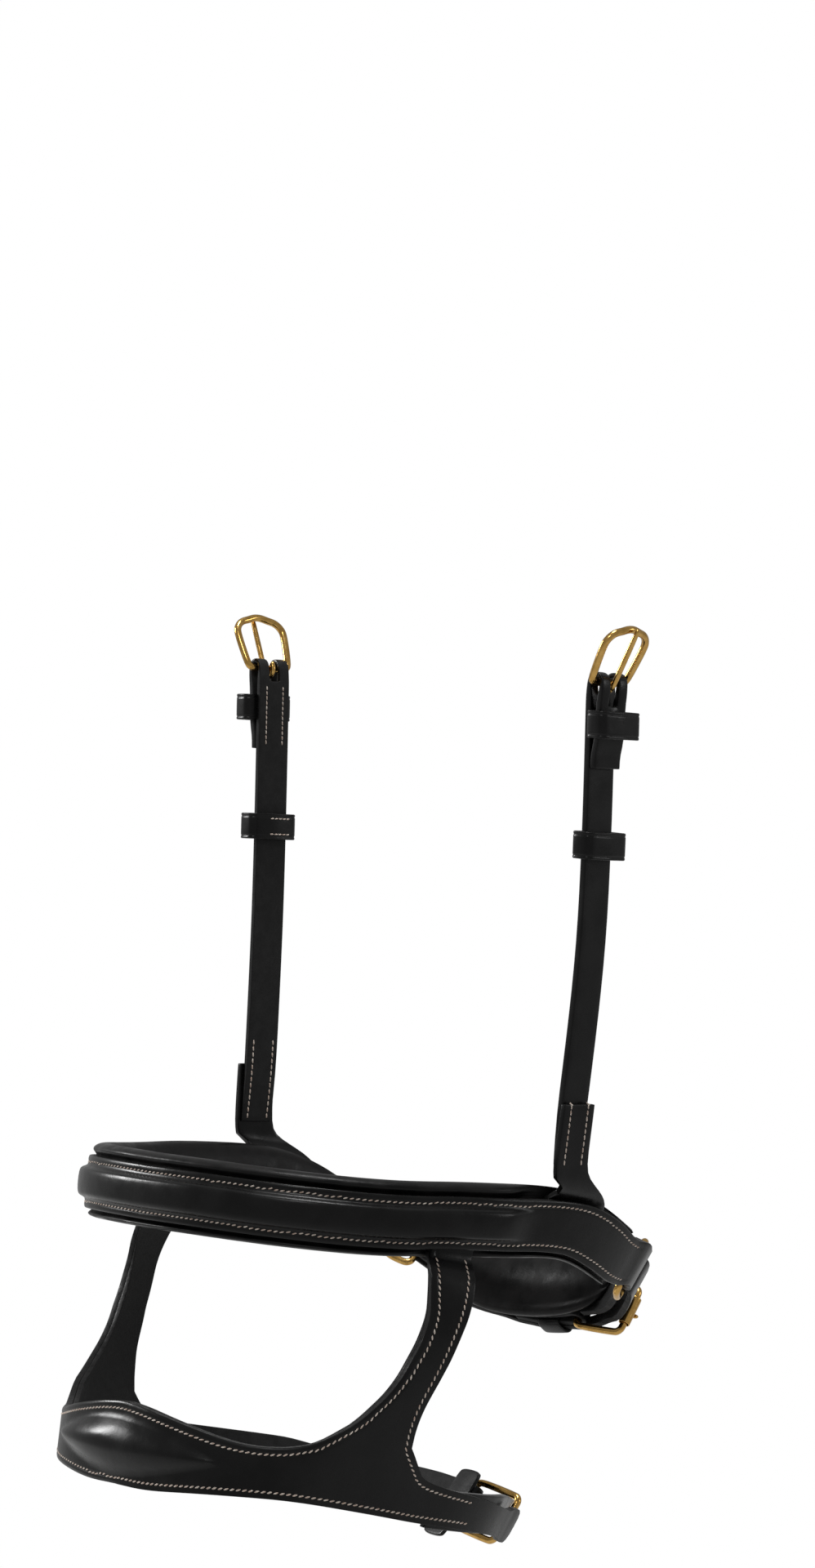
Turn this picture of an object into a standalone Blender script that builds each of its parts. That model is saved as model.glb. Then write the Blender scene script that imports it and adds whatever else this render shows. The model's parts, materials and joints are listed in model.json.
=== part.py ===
"""Double noseband of a horse's bridle.

A padded upper band closes under the chin through two brass rings, a drop band hangs from it on two
side straps and closes behind the chin groove, and two cheek straps carry both from their buckles.
Metres, +Z up, the nose towards -Y, the horse's left side at +X. The origin lies midway between the
bars of the two cheek buckles, which hang from the bridle's headpiece.

Every strap is cut flat, as a saddler cuts it, in a pattern of (along, across, out), then bent into
place: the bands round the horse's head, the cheek straps along their own lines.
"""

import bisect
import math

import bmesh
import bpy
import numpy as np
from mathutils import Matrix, Vector

# The horse's head, which the two bands are fitted to
UPPER_HALF_WIDTH = 0.086
UPPER_HALF_DEPTH = 0.102
LOWER_HALF_WIDTH = 0.079
LOWER_HALF_DEPTH = 0.077
UPPER_NOSE = 0.1317
LOWER_NOSE = 0.1427
UPPER_DROP = 0.1767
LOWER_DROP = 0.2637
TILT_SHARE = 0.2
ROUNDNESS = 2.4
GIRTH_STEPS = 721
SAMPLE_SHARE = 0.004
SAMPLE_STEP = 0.001
RUN_STEP = 0.008
CHEEK_STEP = 0.018

# Leather and padding
LEATHER = 0.0026
THIN_LEATHER = 0.0016
TAB_LEATHER = 0.0022
DROP_LINING = 0.0020
GAP = 0.0003
POCKET_GAP = 0.0004
BAND_WIDTH = 0.019
BAND_END_WIDTH = 0.0164
BAND_RAISE = 0.0030
BAND_RISE = 0.010
PAD_WIDTH = 0.0290
PAD_DEPTH = 0.0088
LEAF_RISE = 0.0046
SIDE_BOW = 0.0063
STRAP_WIDTH = 0.013
TAB_WIDTH = 0.0155
BILLET_WIDTH = 0.016
CHIN_WIDTH = 0.014
CHIN_PAD_WIDTH = 0.031
CHIN_PAD_DEPTH = 0.0095
CHIN_PAD_LIFT = 0.0055

# Buckles, rings and keepers
WIRE = 0.0030
TONGUE_WIRE = 0.0022
ROLLER = 0.0046
RING_LENGTH = 0.012
RING_CORNER = 0.003
STRAIGHT_REACH = 0.005
SIDE_CLEARANCE = 0.0011
BUCKLE_LENGTH = 0.0215
CHIN_BUCKLE_LENGTH = 0.0210
BUCKLE_CORNER = 0.0025
CHEEK_BUCKLE_FLARE = 0.0013
CHEEK_BUCKLE_CORNER = 0.006
CHEEK_BUCKLE_CROWN = 0.0012
CHEEK_BUCKLE_TILT = 26.0
CHIN_BUCKLE_TILT = 18.0
KEEPER_WIDTH = 0.0096
KEEPER_CORNER = 0.0022
GUARD_WIDTH = 0.0135
GUARD_HEIGHT = 0.028
GUARD_DROP = 0.0033
GUARD_CORNER = 0.0030
BILLET_ROOM = 0.0034
HOLE = 0.0036
HOLE_SPACING = 0.0125

# Cheek straps, from the buckle bar down to the upper band
CHEEK_SPAN = 0.189
CHEEK_LENGTH = 0.1713
CHEEK_SPREAD = 0.0054
CHEEK_SWEEP = 0.0127
CHEEK_BOW_BACK = 0.0030
CHEEK_BOW_OUT = 0.0020
CHEEK_TURN = 5.0
CHEEK_END = 0.169
TURN_BACK = 0.030
FIXED_KEEPER_DROP = 0.0145
RUNNER_DROP = 0.057
FAR_RUNNER_DROP = 0.059

# Where things lie, as shares of the way from nose to chin
STATION_SHARE = 0.030625
FACE_STATIONS = 24
PAD_STATIONS = 22
FILLER_STATIONS = 16
RING_BAR_SHARE = 0.739
CHAPE_END_SHARE = 0.690
TAB_SHARE = 0.556
UPPER_BAR_SHARE = 0.966
LOWER_BAR_SHARE = 0.965
CHIN_PAD_SHARES = (0.905, 1.168)
LOWER_STRAP_START_SHARE = 0.520
DROP_LINING_END_SHARE = 0.505

# Middle line of the upper band and chin strap: share of the way round, rise as a share of BAND_RISE
UPPER_LINE_SHARES = (
    (0.00, 0.00), (0.15, 0.05), (0.21, 0.10), (0.28, 0.20), (0.34, 0.36), (0.39, 0.56),
    (0.47, 0.80), (0.527, 0.97), (0.57, 0.95), (0.62, 0.60), (0.67, 0.15), (0.735, -0.08),
    (0.785, -0.50), (0.85, -0.92), (0.93, -1.33), (1.00, -1.62), (1.06, -1.75), (1.12, -1.66),
    (1.17, -1.28), (1.215, -0.50), (1.265, -0.08), (1.33, 0.15), (1.38, 0.60),
)
# Outline of the drop band and its side strap: heights are shares of the drop between the bands
WINDOW_SHARES = (
    (0.000, 0.148), (0.023, 0.147), (0.059, 0.129), (0.092, 0.114), (0.134, 0.092), (0.173, 0.074),
    (0.212, 0.061), (0.245, 0.066), (0.279, 0.084), (0.308, 0.121), (0.340, 0.206),
)
SIDE_FRONT_SHARES = (
    (0.206, 0.340), (0.236, 0.348), (0.286, 0.359), (0.349, 0.371), (0.423, 0.380), (0.502, 0.385),
    (0.583, 0.389), (0.692, 0.389), (0.787, 0.383), (0.862, 0.379), (1.008, 0.375),
)
SIDE_REAR_SHARES = (
    (0.146, 0.434), (0.220, 0.429), (0.319, 0.427), (0.452, 0.431), (0.584, 0.434), (0.746, 0.436),
    (0.862, 0.436), (1.008, 0.433),
)
NEAR_TOP_SHARES = (
    (0.434, 0.146), (0.457, 0.075), (0.475, 0.029), (0.513, 0.001), (0.569, -0.020),
    (0.620, -0.039), (0.712, -0.078),
)
LOWER_EDGE_SHARES = (
    (0.000, -0.186), (0.030, -0.190), (0.075, -0.188), (0.137, -0.170), (0.216, -0.148),
    (0.300, -0.132), (0.420, -0.143), (0.493, -0.156), (0.569, -0.161), (0.712, -0.190),
)
CHIN_LINE_SHARES = (
    (0.50, -0.095), (0.70, -0.108), (0.80, -0.098), (0.90, -0.090), (1.00, -0.085),
    (1.15, -0.071), (1.30, -0.056), (1.50, -0.043),
)

# How far the side straps stand off the head: height, share of SIDE_BOW
FRONT_BOW_SHARES = (
    (-0.14, 0.0), (0.0, 0.30), (0.1, 0.55), (0.2, 0.78), (0.3, 0.85), (0.42, 0.92), (0.55, 1.0),
    (0.64, 0.97), (0.69, 0.90), (0.74, 0.78), (0.79, 0.65), (0.86, 0.37), (0.93, 0.0),
)
REAR_BOW_SHARES = (
    (-0.14, 0.0), (0.0, 0.12), (0.1, 0.28), (0.25, 0.54), (0.32, 0.71), (0.38, 0.84), (0.45, 0.97),
    (0.52, 1.10), (0.65, 1.16), (0.70, 1.14), (0.75, 1.02), (0.80, 0.81), (0.87, 0.42), (0.93, 0.0),
)
BOW_START_SHARES = (0.25, 0.335)
BOW_END_SHARES = (0.44, 0.50)

# How far a cheek strap bows from a straight line: share of the way down, share of the bow
CHEEK_BOW_SHARES = (
    (0.0, 0.0), (0.17, 0.42), (0.35, 0.80), (0.55, 1.0), (0.80, 0.60), (1.0, 0.05),
)

LEATHER_BLACK = (0.013, 0.013, 0.014)
LINING_BLACK = (0.020, 0.019, 0.019)
BRASS = (0.62, 0.40, 0.13)


def clear_scene():
    for obj in list(bpy.data.objects):
        bpy.data.objects.remove(obj, do_unlink=True)


def material(name, colour, roughness, metallic=0.0):
    made = bpy.data.materials.new(name)
    made.use_nodes = True
    shader = made.node_tree.nodes["Principled BSDF"]
    shader.inputs["Base Color"].default_value = (*colour, 1.0)
    shader.inputs["Roughness"].default_value = roughness
    shader.inputs["Metallic"].default_value = metallic
    return made


def smooth(table, place):
    """Value at a place on the smooth curve through a table of (place, value) pairs."""
    places = [row[0] for row in table]
    values = [row[1] for row in table]
    place = min(max(place, places[0]), places[-1])
    first = min(max(bisect.bisect_right(places, place) - 1, 0), len(table) - 2)

    def slope(row):
        low, high = max(row - 1, 0), min(row + 1, len(table) - 1)
        return (values[high] - values[low]) / (places[high] - places[low])

    step = places[first + 1] - places[first]
    t = (place - places[first]) / step
    rise = values[first + 1] - values[first]
    start, end = slope(first) * step, slope(first + 1) * step
    return values[first] + t * (start + t * (3 * rise - 2 * start - end + t * (start + end - 2 * rise)))


def ease(low, high, value):
    """0 below low, 1 above high, and a smooth step between."""
    t = min(max((value - low) / (high - low), 0.0), 1.0)
    return t * t * (3 - 2 * t)


def girth_curve(half_width, half_depth, nose):
    """Half of a level section of the head, nose to chin: shares of its length, x and y."""
    turn = np.linspace(0.0, math.pi, GIRTH_STEPS)
    power = 2 / ROUNDNESS
    x = half_width * np.clip(np.sin(turn), 0.0, 1.0) ** power
    y = half_depth - nose - half_depth * np.sign(np.cos(turn)) * np.abs(np.cos(turn)) ** power
    run = np.concatenate(([0.0], np.cumsum(np.hypot(np.diff(x), np.diff(y)))))
    return run / run[-1], x, y, run[-1]


UPPER_CURVE = girth_curve(UPPER_HALF_WIDTH, UPPER_HALF_DEPTH, UPPER_NOSE)
LOWER_CURVE = girth_curve(LOWER_HALF_WIDTH, LOWER_HALF_DEPTH, LOWER_NOSE)
UPPER_GIRTH = UPPER_CURVE[3]
LOWER_GIRTH = LOWER_CURVE[3]
SIDE_DROP = LOWER_DROP - UPPER_DROP
LEAST_BLEND_SHARE = -0.3
MOST_BLEND_SHARE = 1.4


def head(share, height):
    """Point on the head: share is 0 at the nose and 1 at the chin, and past 1 the far side."""
    side = 1.0 if share >= 0 else -1.0
    share = abs(share)
    if share > 1:
        share, side = 2 - share, -side
    blend = (-UPPER_DROP - height) / SIDE_DROP
    blend = min(max(blend, LEAST_BLEND_SHARE), MOST_BLEND_SHARE)
    upper = [np.interp(share, UPPER_CURVE[0], UPPER_CURVE[axis]) for axis in (1, 2)]
    lower = [np.interp(share, LOWER_CURVE[0], LOWER_CURVE[axis]) for axis in (1, 2)]
    x, y = (a + (b - a) * blend for a, b in zip(upper, lower))
    return Vector((side * x, y, height - TILT_SHARE * (y + UPPER_NOSE)))


def on_head(share, height, out):
    """Point at a distance out from the head's surface."""
    along = head(share + SAMPLE_SHARE, height) - head(share - SAMPLE_SHARE, height)
    up = head(share, height + SAMPLE_STEP) - head(share, height - SAMPLE_STEP)
    return head(share, height) + along.cross(up).normalized() * out


def upper_line(along):
    return BAND_RISE * smooth(UPPER_LINE_SHARES, abs(along) / UPPER_GIRTH) - UPPER_DROP


def lower_line(along):
    return SIDE_DROP * smooth(CHIN_LINE_SHARES, along / LOWER_GIRTH) - LOWER_DROP


def upper_place(along, across, out):
    """Place of a pattern point of the upper band: across is square to the band's middle line."""
    step = upper_line(along + SAMPLE_STEP) - upper_line(along - SAMPLE_STEP)
    slope = math.atan2(step, 2 * SAMPLE_STEP)
    share = (along - across * math.sin(slope)) / UPPER_GIRTH
    return on_head(share, upper_line(along) + across * math.cos(slope), out)


def lower_place(along, across, out):
    return on_head(along / LOWER_GIRTH, lower_line(along) + across, out)


def drop_place(around, height, out):
    """Place of a pattern point of the drop band, given as shares round and up."""
    return on_head(around, height * SIDE_DROP - LOWER_DROP, out)


def cheek_axes(side):
    """Bar centre and the across, up and outward directions of a cheek strap."""
    bar = Vector((side * CHEEK_SPAN / 2, 0.0, 0.0))
    up = Vector((side * CHEEK_SPREAD, CHEEK_SWEEP, CHEEK_LENGTH)).normalized()
    turn = math.radians(CHEEK_TURN)
    back = Vector((-side * math.sin(turn), math.cos(turn), 0.0)) * side
    across = (back - up * back.dot(up)).normalized()
    return bar, across, up, across.cross(up)


def cheek_place(side):
    bar, across_way, up, outward = cheek_axes(side)

    def place(along, across, out):
        bow = smooth(CHEEK_BOW_SHARES, -along / CHEEK_LENGTH)
        point = bar + up * along + across_way * across + outward * out
        return point + Vector((side * CHEEK_BOW_OUT, CHEEK_BOW_BACK, 0.0)) * bow

    return place


def add_object(name, mesh, finish, matrix=None):
    obj = bpy.data.objects.new(name, mesh)
    bpy.context.scene.collection.objects.link(obj)
    mesh.materials.append(finish)
    if matrix is not None:
        obj.matrix_world = matrix
    return obj


def mesh_from(bm, name):
    mesh = bpy.data.meshes.new(name)
    bm.to_mesh(mesh)
    bm.free()
    return mesh


def mirrored(obj):
    half = obj.modifiers.new("far half", "MIRROR")
    half.use_axis = (True, False, False)
    half.merge_threshold = 0.0001


def thickened(obj, thickness):
    wall = obj.modifiers.new("thickness", "SOLIDIFY")
    wall.thickness = thickness
    wall.offset = 0.0
    wall.use_even_offset = True
    wall.thickness_clamp = 1.0


def pattern_grid(rows, columns):
    """Flat grid whose point for row i and column j lies at (i, j)."""
    bm = bmesh.new()
    bmesh.ops.create_grid(bm, x_segments=rows - 1, y_segments=columns - 1, size=1.0)
    for vert in bm.verts:
        vert.co = Vector((
            round((vert.co.x + 1) / 2 * (rows - 1)), round((vert.co.y + 1) / 2 * (columns - 1)), 0.0
        ))
    return bm


def flat_lengths(path):
    """How far along the leather each point of its bent middle line lies."""
    lengths = [0.0]
    for (along, out), (next_along, next_out) in zip(path, path[1:]):
        lengths.append(lengths[-1] + math.hypot(next_along - along, next_out - out))
    return lengths


def on_path(path, lengths, flat):
    """Point of the bent middle line at a flat length."""
    return (
        float(np.interp(flat, lengths, [point[0] for point in path])),
        float(np.interp(flat, lengths, [point[1] for point in path])),
    )


def leather(name, finish, thickness, path, half_width, place, column_shares=(-1, 1), **cuts):
    """A strap cut flat and bent along its path of (along, out) points.

    half_width is a function of along. cuts may hold raise_by(along, share), which lifts the
    leather, is_open(along, out, share), which says where a slot is cut, and holes, a list of row
    numbers with a round hole of hole_size punched in the middle column.
    """
    raise_by = cuts.get("raise_by", lambda along, share: 0.0)
    lengths = flat_lengths(path)
    bm = pattern_grid(len(path), len(column_shares))
    for vert in bm.verts:
        row, share = int(vert.co.x), column_shares[int(vert.co.y)]
        vert.co = Vector((lengths[row], share * half_width(path[row][0]), 0.0))
    middle = [lengths[row] for row in cuts.get("holes", ())]
    punched = [
        vert for vert in bm.verts if vert.co.y == 0 and any(vert.co.x == flat for flat in middle)
    ]
    for vert in punched:
        centre = vert.co.copy()
        cut = bmesh.ops.bevel(
            bm, geom=[vert], offset=cuts["hole_size"] / 2, affect="VERTICES", segments=2,
            profile=0.5, material=-1,
        )
        inner = min(cut["faces"], key=lambda face: (face.calc_center_median() - centre).length)
        bmesh.ops.delete(bm, geom=[inner], context="FACES_ONLY")
    if "is_open" in cuts:
        open_faces = []
        for face in bm.faces:
            centre = face.calc_center_median()
            along, out = on_path(path, lengths, centre.x)
            if cuts["is_open"](along, out, abs(centre.y) / half_width(along)):
                open_faces.append(face)
        bmesh.ops.delete(bm, geom=open_faces, context="FACES")
    for vert in bm.verts:
        along, out = on_path(path, lengths, vert.co.x)
        share = vert.co.y / half_width(along)
        vert.co = place(along, vert.co.y, out + raise_by(along, share))
    obj = add_object(name, mesh_from(bm, name), finish)
    thickened(obj, thickness)
    return obj


def loft(name, finish, rings, closed_start=True):
    """A solid skin through rings of points, with flat ends."""
    bm = bmesh.new()
    loops = [[bm.verts.new(point) for point in ring] for ring in rings]
    for low, high in zip(loops, loops[1:]):
        for index, vert in enumerate(low):
            after = (index + 1) % len(low)
            bm.faces.new((vert, low[after], high[after], high[index]))
    bm.faces.new(loops[-1])
    if closed_start:
        bm.faces.new(reversed(loops[0]))
    bmesh.ops.recalc_face_normals(bm, faces=bm.faces[:])
    obj = add_object(name, mesh_from(bm, name), finish)
    return obj


def wire(name, finish, points, radius, matrix, closed=True, tapers=None):
    """A round wire along points given in the frame of a matrix."""
    curve = bpy.data.curves.new(name, "CURVE")
    curve.dimensions = "3D"
    curve.bevel_depth = radius
    curve.bevel_resolution = 2
    curve.use_fill_caps = True
    spline = curve.splines.new("POLY")
    spline.points.add(len(points) - 1)
    for index, point in enumerate(points):
        spline.points[index].co = (*point, 1.0)
        spline.points[index].radius = 1.0 if tapers is None else tapers[index]
    spline.use_cyclic_u = closed
    return add_object(name, curve, finish, matrix)


def arc(centre, radius, start, end, steps):
    """Points on an arc from a start to an end angle in degrees, with steps intervals."""
    points = []
    for index in range(steps + 1):
        angle = math.radians(start + (end - start) * index / steps)
        points.append((centre[0] + radius * math.cos(angle), centre[1] + radius * math.sin(angle)))
    return points


def rounded_box(low_x, high_x, low_y, high_y, radius, steps=3):
    """Outline of a rectangle with round corners, counterclockwise."""
    corners = (
        (high_x - radius, low_y + radius, -90), (high_x - radius, high_y - radius, 0),
        (low_x + radius, high_y - radius, 90), (low_x + radius, low_y + radius, 180),
    )
    points = []
    for x, y, start in corners:
        points += arc((x, y), radius, start, start + 90, steps)
    return points


def frame_at(place, along, out, ahead):
    """Matrix of a rigid piece: x across, y towards the along value ahead, z outwards."""
    origin = place(along, 0.0, out)
    y_way = (place(ahead, 0.0, out) - origin).normalized()
    across = place(along, SAMPLE_STEP, out) - place(along, -SAMPLE_STEP, out)
    x_way = (across - y_way * across.dot(y_way)).normalized()
    z_way = x_way.cross(y_way)
    if z_way.dot(place(along, 0.0, out + SAMPLE_STEP) - origin) < 0:
        x_way, z_way = -x_way, -z_way
    rows = Matrix((x_way, y_way, z_way)).transposed().to_4x4()
    return Matrix.Translation(origin) @ rows


def straight_near(place, bar, matrix, framed=0):
    """The same place, but square to a bar, whose frame is the matrix, wherever it is near.

    Where framed is 1 or -1, it stays square for the whole length of a buckle on that side.
    """
    bar_along, bar_out = bar
    x_way, y_way, z_way = (matrix.col[axis].to_3d() for axis in range(3))
    origin = place(bar_along, 0.0, bar_out)
    if y_way.dot(place(bar_along + SAMPLE_STEP, 0.0, bar_out) - origin) < 0:
        y_way = -y_way
    if x_way.dot(place(bar_along, SAMPLE_STEP, bar_out) - origin) < 0:
        x_way = -x_way

    def straight(along, across, out):
        square = matrix.translation + x_way * across + y_way * (along - bar_along)
        square += z_way * (out - bar_out)
        past = abs(along - bar_along)
        if framed * (along - bar_along) > 0:
            past -= CHIN_BUCKLE_LENGTH - STRAIGHT_REACH
        freed = ease(STRAIGHT_REACH, 3 * STRAIGHT_REACH, past)
        return square.lerp(place(along, across, out), freed)

    return straight


FOLD = WIRE / 2 + GAP + LEATHER / 2
HOOK = WIRE / 2 + GAP + TONGUE_WIRE / 2
SLOT_HALF = TONGUE_WIRE / 2 + SIDE_CLEARANCE
BODY_OUT = -FOLD
KEEPER_SEAT_OUT = BODY_OUT + LEATHER / 2 + GAP + THIN_LEATHER / 2
TURNED_SEAT_OUT = KEEPER_SEAT_OUT + THIN_LEATHER / 2 + GAP + LEATHER / 2
TURNED_END_OUT = BODY_OUT + LEATHER + GAP
SLOT_OUTER_REACH = 0.008
SLOT_INNER_REACH = 0.0046
FOLD_STEPS = 6


def even_run(first, last, out, longest=RUN_STEP):
    """Path from first to last at one level, in steps no longer than the longest."""
    steps = math.ceil(abs(last - first) / longest)
    return [(first + (last - first) * index / steps, out) for index in range(steps + 1)]


def fold_over(centre, towards):
    """Path of a fold round a bar, inner side to outer side, with its crown towards +1 or -1."""
    points = arc((0.0, 0.0), FOLD, -90, 90, FOLD_STEPS)
    return [(centre[0] + towards * x, centre[1] + y) for x, y in points]


def buckle_strap_path(bar, towards, body):
    """Path of a strap that runs up to a buckle bar, over it and back down outside itself.

    body lists (distance from the bar, out) points of the run, the far end first.
    """
    along, out = bar
    run = [(along - towards * back, out + level) for back, level in body]
    run += [(along - towards * SLOT_INNER_REACH, out + BODY_OUT)]
    run += fold_over(bar, towards)
    keeper_low = FIXED_KEEPER_DROP + KEEPER_WIDTH / 2 + GAP
    back_side = (
        (SLOT_INNER_REACH, TURNED_SEAT_OUT + (FOLD - TURNED_SEAT_OUT) / 2),
        (SLOT_OUTER_REACH, TURNED_SEAT_OUT),
        (keeper_low, TURNED_SEAT_OUT),
        ((keeper_low + TURN_BACK) / 2, TURNED_END_OUT),
        (TURN_BACK, TURNED_END_OUT),
    )
    return run + [(along - towards * back, out + level) for back, level in back_side]


def tongue_slot(bar, towards):
    """Test for the slot that the tongue swings in, on both sides of the fold."""

    def is_open(along, out, share):
        back = towards * (bar[0] - along)
        reach = SLOT_OUTER_REACH if out > bar[1] else SLOT_INNER_REACH
        return back < reach and share < SLOT_SHARE

    return is_open


def buckle(prefix, finish, level_matrix, inner_half, length, tilt, flare, corner, crown=0.0):
    """Frame of a buckle, which turns about its bar, the x axis of the matrix that comes back."""
    matrix = level_matrix @ Matrix.Rotation(math.radians(tilt), 4, "X")
    half = inner_half + WIRE / 2
    wide = half + flare
    outline = arc((half - BUCKLE_CORNER, BUCKLE_CORNER), BUCKLE_CORNER, -90, 0, 2)
    outline += arc((wide - corner, length - crown - corner), corner, 0, 90, 4)
    outline += [(0.5 * (wide - corner), length - 0.25 * crown), (0.0, length)]
    mirror = [(-x, y) for x, y in reversed(outline[:-1])]
    wire(prefix + "_frame", finish, [(x, y, 0.0) for x, y in outline + mirror], WIRE / 2, matrix)
    return matrix


def tongue(name, finish, matrix, length, end_radius):
    """A pin bent into a hook round the bar, resting on the end of the frame."""
    hook = [(0.0, y, z) for y, z in arc((0.0, 0.0), HOOK, 300, 90, 7)]
    rest = end_radius + GAP + TONGUE_WIRE / 2
    tip = length + WIRE / 2
    stem = [(0.0, length * share, HOOK + (rest - HOOK) * share) for share in (0.33, 0.66, 1.0)]
    stem += [(0.0, tip, rest)]
    tapers = [1.0] * (len(hook) + 2) + [0.9, 0.7]
    wire(name, finish, hook + stem, TONGUE_WIRE / 2, matrix, closed=False, tapers=tapers)


def keeper(name, finish, place, centre, width, half_across, low_out, high_out):
    """A loop of thin leather round a strap. The outs are those of its two runs' middle lines."""
    outline = rounded_box(-half_across, half_across, low_out, high_out, KEEPER_CORNER)
    bm = pattern_grid(3, len(outline) + 1)
    for vert in bm.verts:
        across, out = outline[int(vert.co.y) % len(outline)]
        vert.co = place(centre + (vert.co.x - 1) * width / 2, across, out)
    bmesh.ops.remove_doubles(bm, verts=bm.verts[:], dist=GAP / 10)
    bmesh.ops.recalc_face_normals(bm, faces=bm.faces[:])
    obj = add_object(name, mesh_from(bm, name), finish)
    thickened(obj, THIN_LEATHER)
    return obj


SLOT_SHARE = 2 * SLOT_HALF / STRAP_WIDTH
CHAPE_COLUMNS = (-1, -SLOT_SHARE, SLOT_SHARE, 1)


def cheek(side, name, finishes):
    place = cheek_place(side)
    bar = (0.0, 0.0)
    body = even_run(CHEEK_END, TURN_BACK, BODY_OUT, CHEEK_STEP) + [(SLOT_OUTER_REACH, BODY_OUT)]
    path = buckle_strap_path(bar, 1, body)
    leather(
        name + "_cheek_strap", finishes["leather"], LEATHER, path, lambda along: STRAP_WIDTH / 2,
        place, CHAPE_COLUMNS, is_open=tongue_slot(bar, 1),
    )
    matrix = buckle(
        name + "_cheek_buckle", finishes["brass"], frame_at(place, 0.0, 0.0, BUCKLE_LENGTH),
        STRAP_WIDTH / 2 + SIDE_CLEARANCE, BUCKLE_LENGTH, CHEEK_BUCKLE_TILT, CHEEK_BUCKLE_FLARE,
        CHEEK_BUCKLE_CORNER, CHEEK_BUCKLE_CROWN,
    )
    tongue(name + "_cheek_buckle_tongue", finishes["brass"], matrix, BUCKLE_LENGTH, WIRE / 2)
    loop_half = BILLET_WIDTH / 2 + GAP + THIN_LEATHER / 2
    keeper_top = TURNED_SEAT_OUT + LEATHER / 2 + BILLET_ROOM + THIN_LEATHER / 2
    keeper(
        name + "_cheek_fixed_keeper", finishes["leather"], place, -FIXED_KEEPER_DROP, KEEPER_WIDTH,
        loop_half, KEEPER_SEAT_OUT, keeper_top,
    )
    runner_low = BODY_OUT - LEATHER / 2 - 2 * GAP - THIN_LEATHER / 2
    runner_high = BODY_OUT + LEATHER / 2 + BILLET_ROOM + THIN_LEATHER / 2
    keeper(
        name + "_cheek_runner", finishes["leather"], place,
        -RUNNER_DROP if side > 0 else -FAR_RUNNER_DROP, KEEPER_WIDTH,
        loop_half, runner_low, runner_high,
    )
    cheek_tab(side, name, finishes, place)


TAB_OUT = BODY_OUT + LEATHER / 2 + GAP + TAB_LEATHER / 2
TUCKED_OUT = -LEATHER - POCKET_GAP - TAB_LEATHER / 2
TAB_TOP = 0.046
# Rows of the tab: height above the band's middle as a share of TAB_TOP, half width as a share of
# TAB_WIDTH, how far it has come out from under the band, how far it follows the cheek strap
TAB_ROW_SHARES = (
    (0.107, 0.95, 0.00, 0.00), (0.207, 0.90, 0.00, 0.00), (0.270, 0.74, 0.35, 0.10),
    (0.345, 0.60, 0.70, 0.45), (0.430, 0.53, 1.00, 0.88), (0.520, 0.50, 1.00, 1.00),
    (0.760, 0.50, 1.00, 1.00), (1.000, 0.50, 1.00, 1.00),
)
TAB_COLUMN_SHARES = (-1, -0.5, 0, 0.5, 1)


def cheek_tab(side, name, finishes, place):
    """The tab that rises from under the upper band and is sewn outside the cheek strap."""
    along = TAB_SHARE * UPPER_GIRTH
    up = cheek_axes(side)[2]
    bm = pattern_grid(len(TAB_ROW_SHARES), len(TAB_COLUMN_SHARES))
    for vert in bm.verts:
        rise, half, emerged, joined = TAB_ROW_SHARES[int(vert.co.x)]
        across = TAB_COLUMN_SHARES[int(vert.co.y)] * half * TAB_WIDTH
        height = rise * TAB_TOP + upper_line(along)
        out = TUCKED_OUT + (TAB_LEATHER / 2 - TUCKED_OUT) * emerged
        on_band = on_head((along + across) / UPPER_GIRTH, height, out)
        on_band.x *= side
        level = head(TAB_SHARE, height).z
        on_cheek = place(level / up.z, across * side, TAB_OUT)
        vert.co = on_band.lerp(on_cheek, joined)
    obj = add_object(name + "_cheek_tab", mesh_from(bm, name), finishes["leather"])
    thickened(obj, TAB_LEATHER)


def stations(first, last):
    return [index * STATION_SHARE * UPPER_GIRTH for index in range(first, last + 1)]


FACE_OUT = -LEATHER / 2
RAISE_END_SHARES = (0.462, 0.512)
FACE_COLUMNS = (-1, -0.62, -0.48, -0.24, 0, 0.24, 0.48, 0.62, 1)
RAISE_SHARES = ((0.0, 1.0), (0.24, 0.97), (0.48, 0.78), (0.62, 0.0), (1.0, 0.0))


def band_raise(along, share):
    """Height of the raised middle of the upper band."""
    fade = 1 - ease(*RAISE_END_SHARES, abs(along) / UPPER_GIRTH)
    flat = np.interp(abs(share), [row[0] for row in RAISE_SHARES], [row[1] for row in RAISE_SHARES])
    return BAND_RAISE * fade * float(flat)


def upper_band(finishes):
    ring_bar = (RING_BAR_SHARE * UPPER_GIRTH, FACE_OUT - FOLD)
    path = [(along, FACE_OUT) for along in stations(0, FACE_STATIONS)]
    path += list(reversed(fold_over(ring_bar, 1)))
    chape_end = CHAPE_END_SHARE * UPPER_GIRTH
    turned = FACE_OUT - LEATHER - GAP
    path += [
        (ring_bar[0] - FOLD, ring_bar[1] - FOLD + GAP), ((ring_bar[0] * 2 + chape_end) / 3, turned),
        (chape_end, turned),
    ]

    def half(along):
        narrow = ease(0.6, RING_BAR_SHARE, abs(along) / UPPER_GIRTH)
        return (BAND_WIDTH + (BAND_END_WIDTH - BAND_WIDTH) * narrow) / 2

    place = straight_near(upper_place, ring_bar, ring_frame()[0])
    face = leather(
        "upper_band_face", finishes["leather"], LEATHER, path, half, place, FACE_COLUMNS,
        raise_by=band_raise,
    )
    face.modifiers.clear()
    mirrored(face)
    thickened(face, LEATHER)
    upper_filler(finishes)
    upper_lining(finishes)


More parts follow.
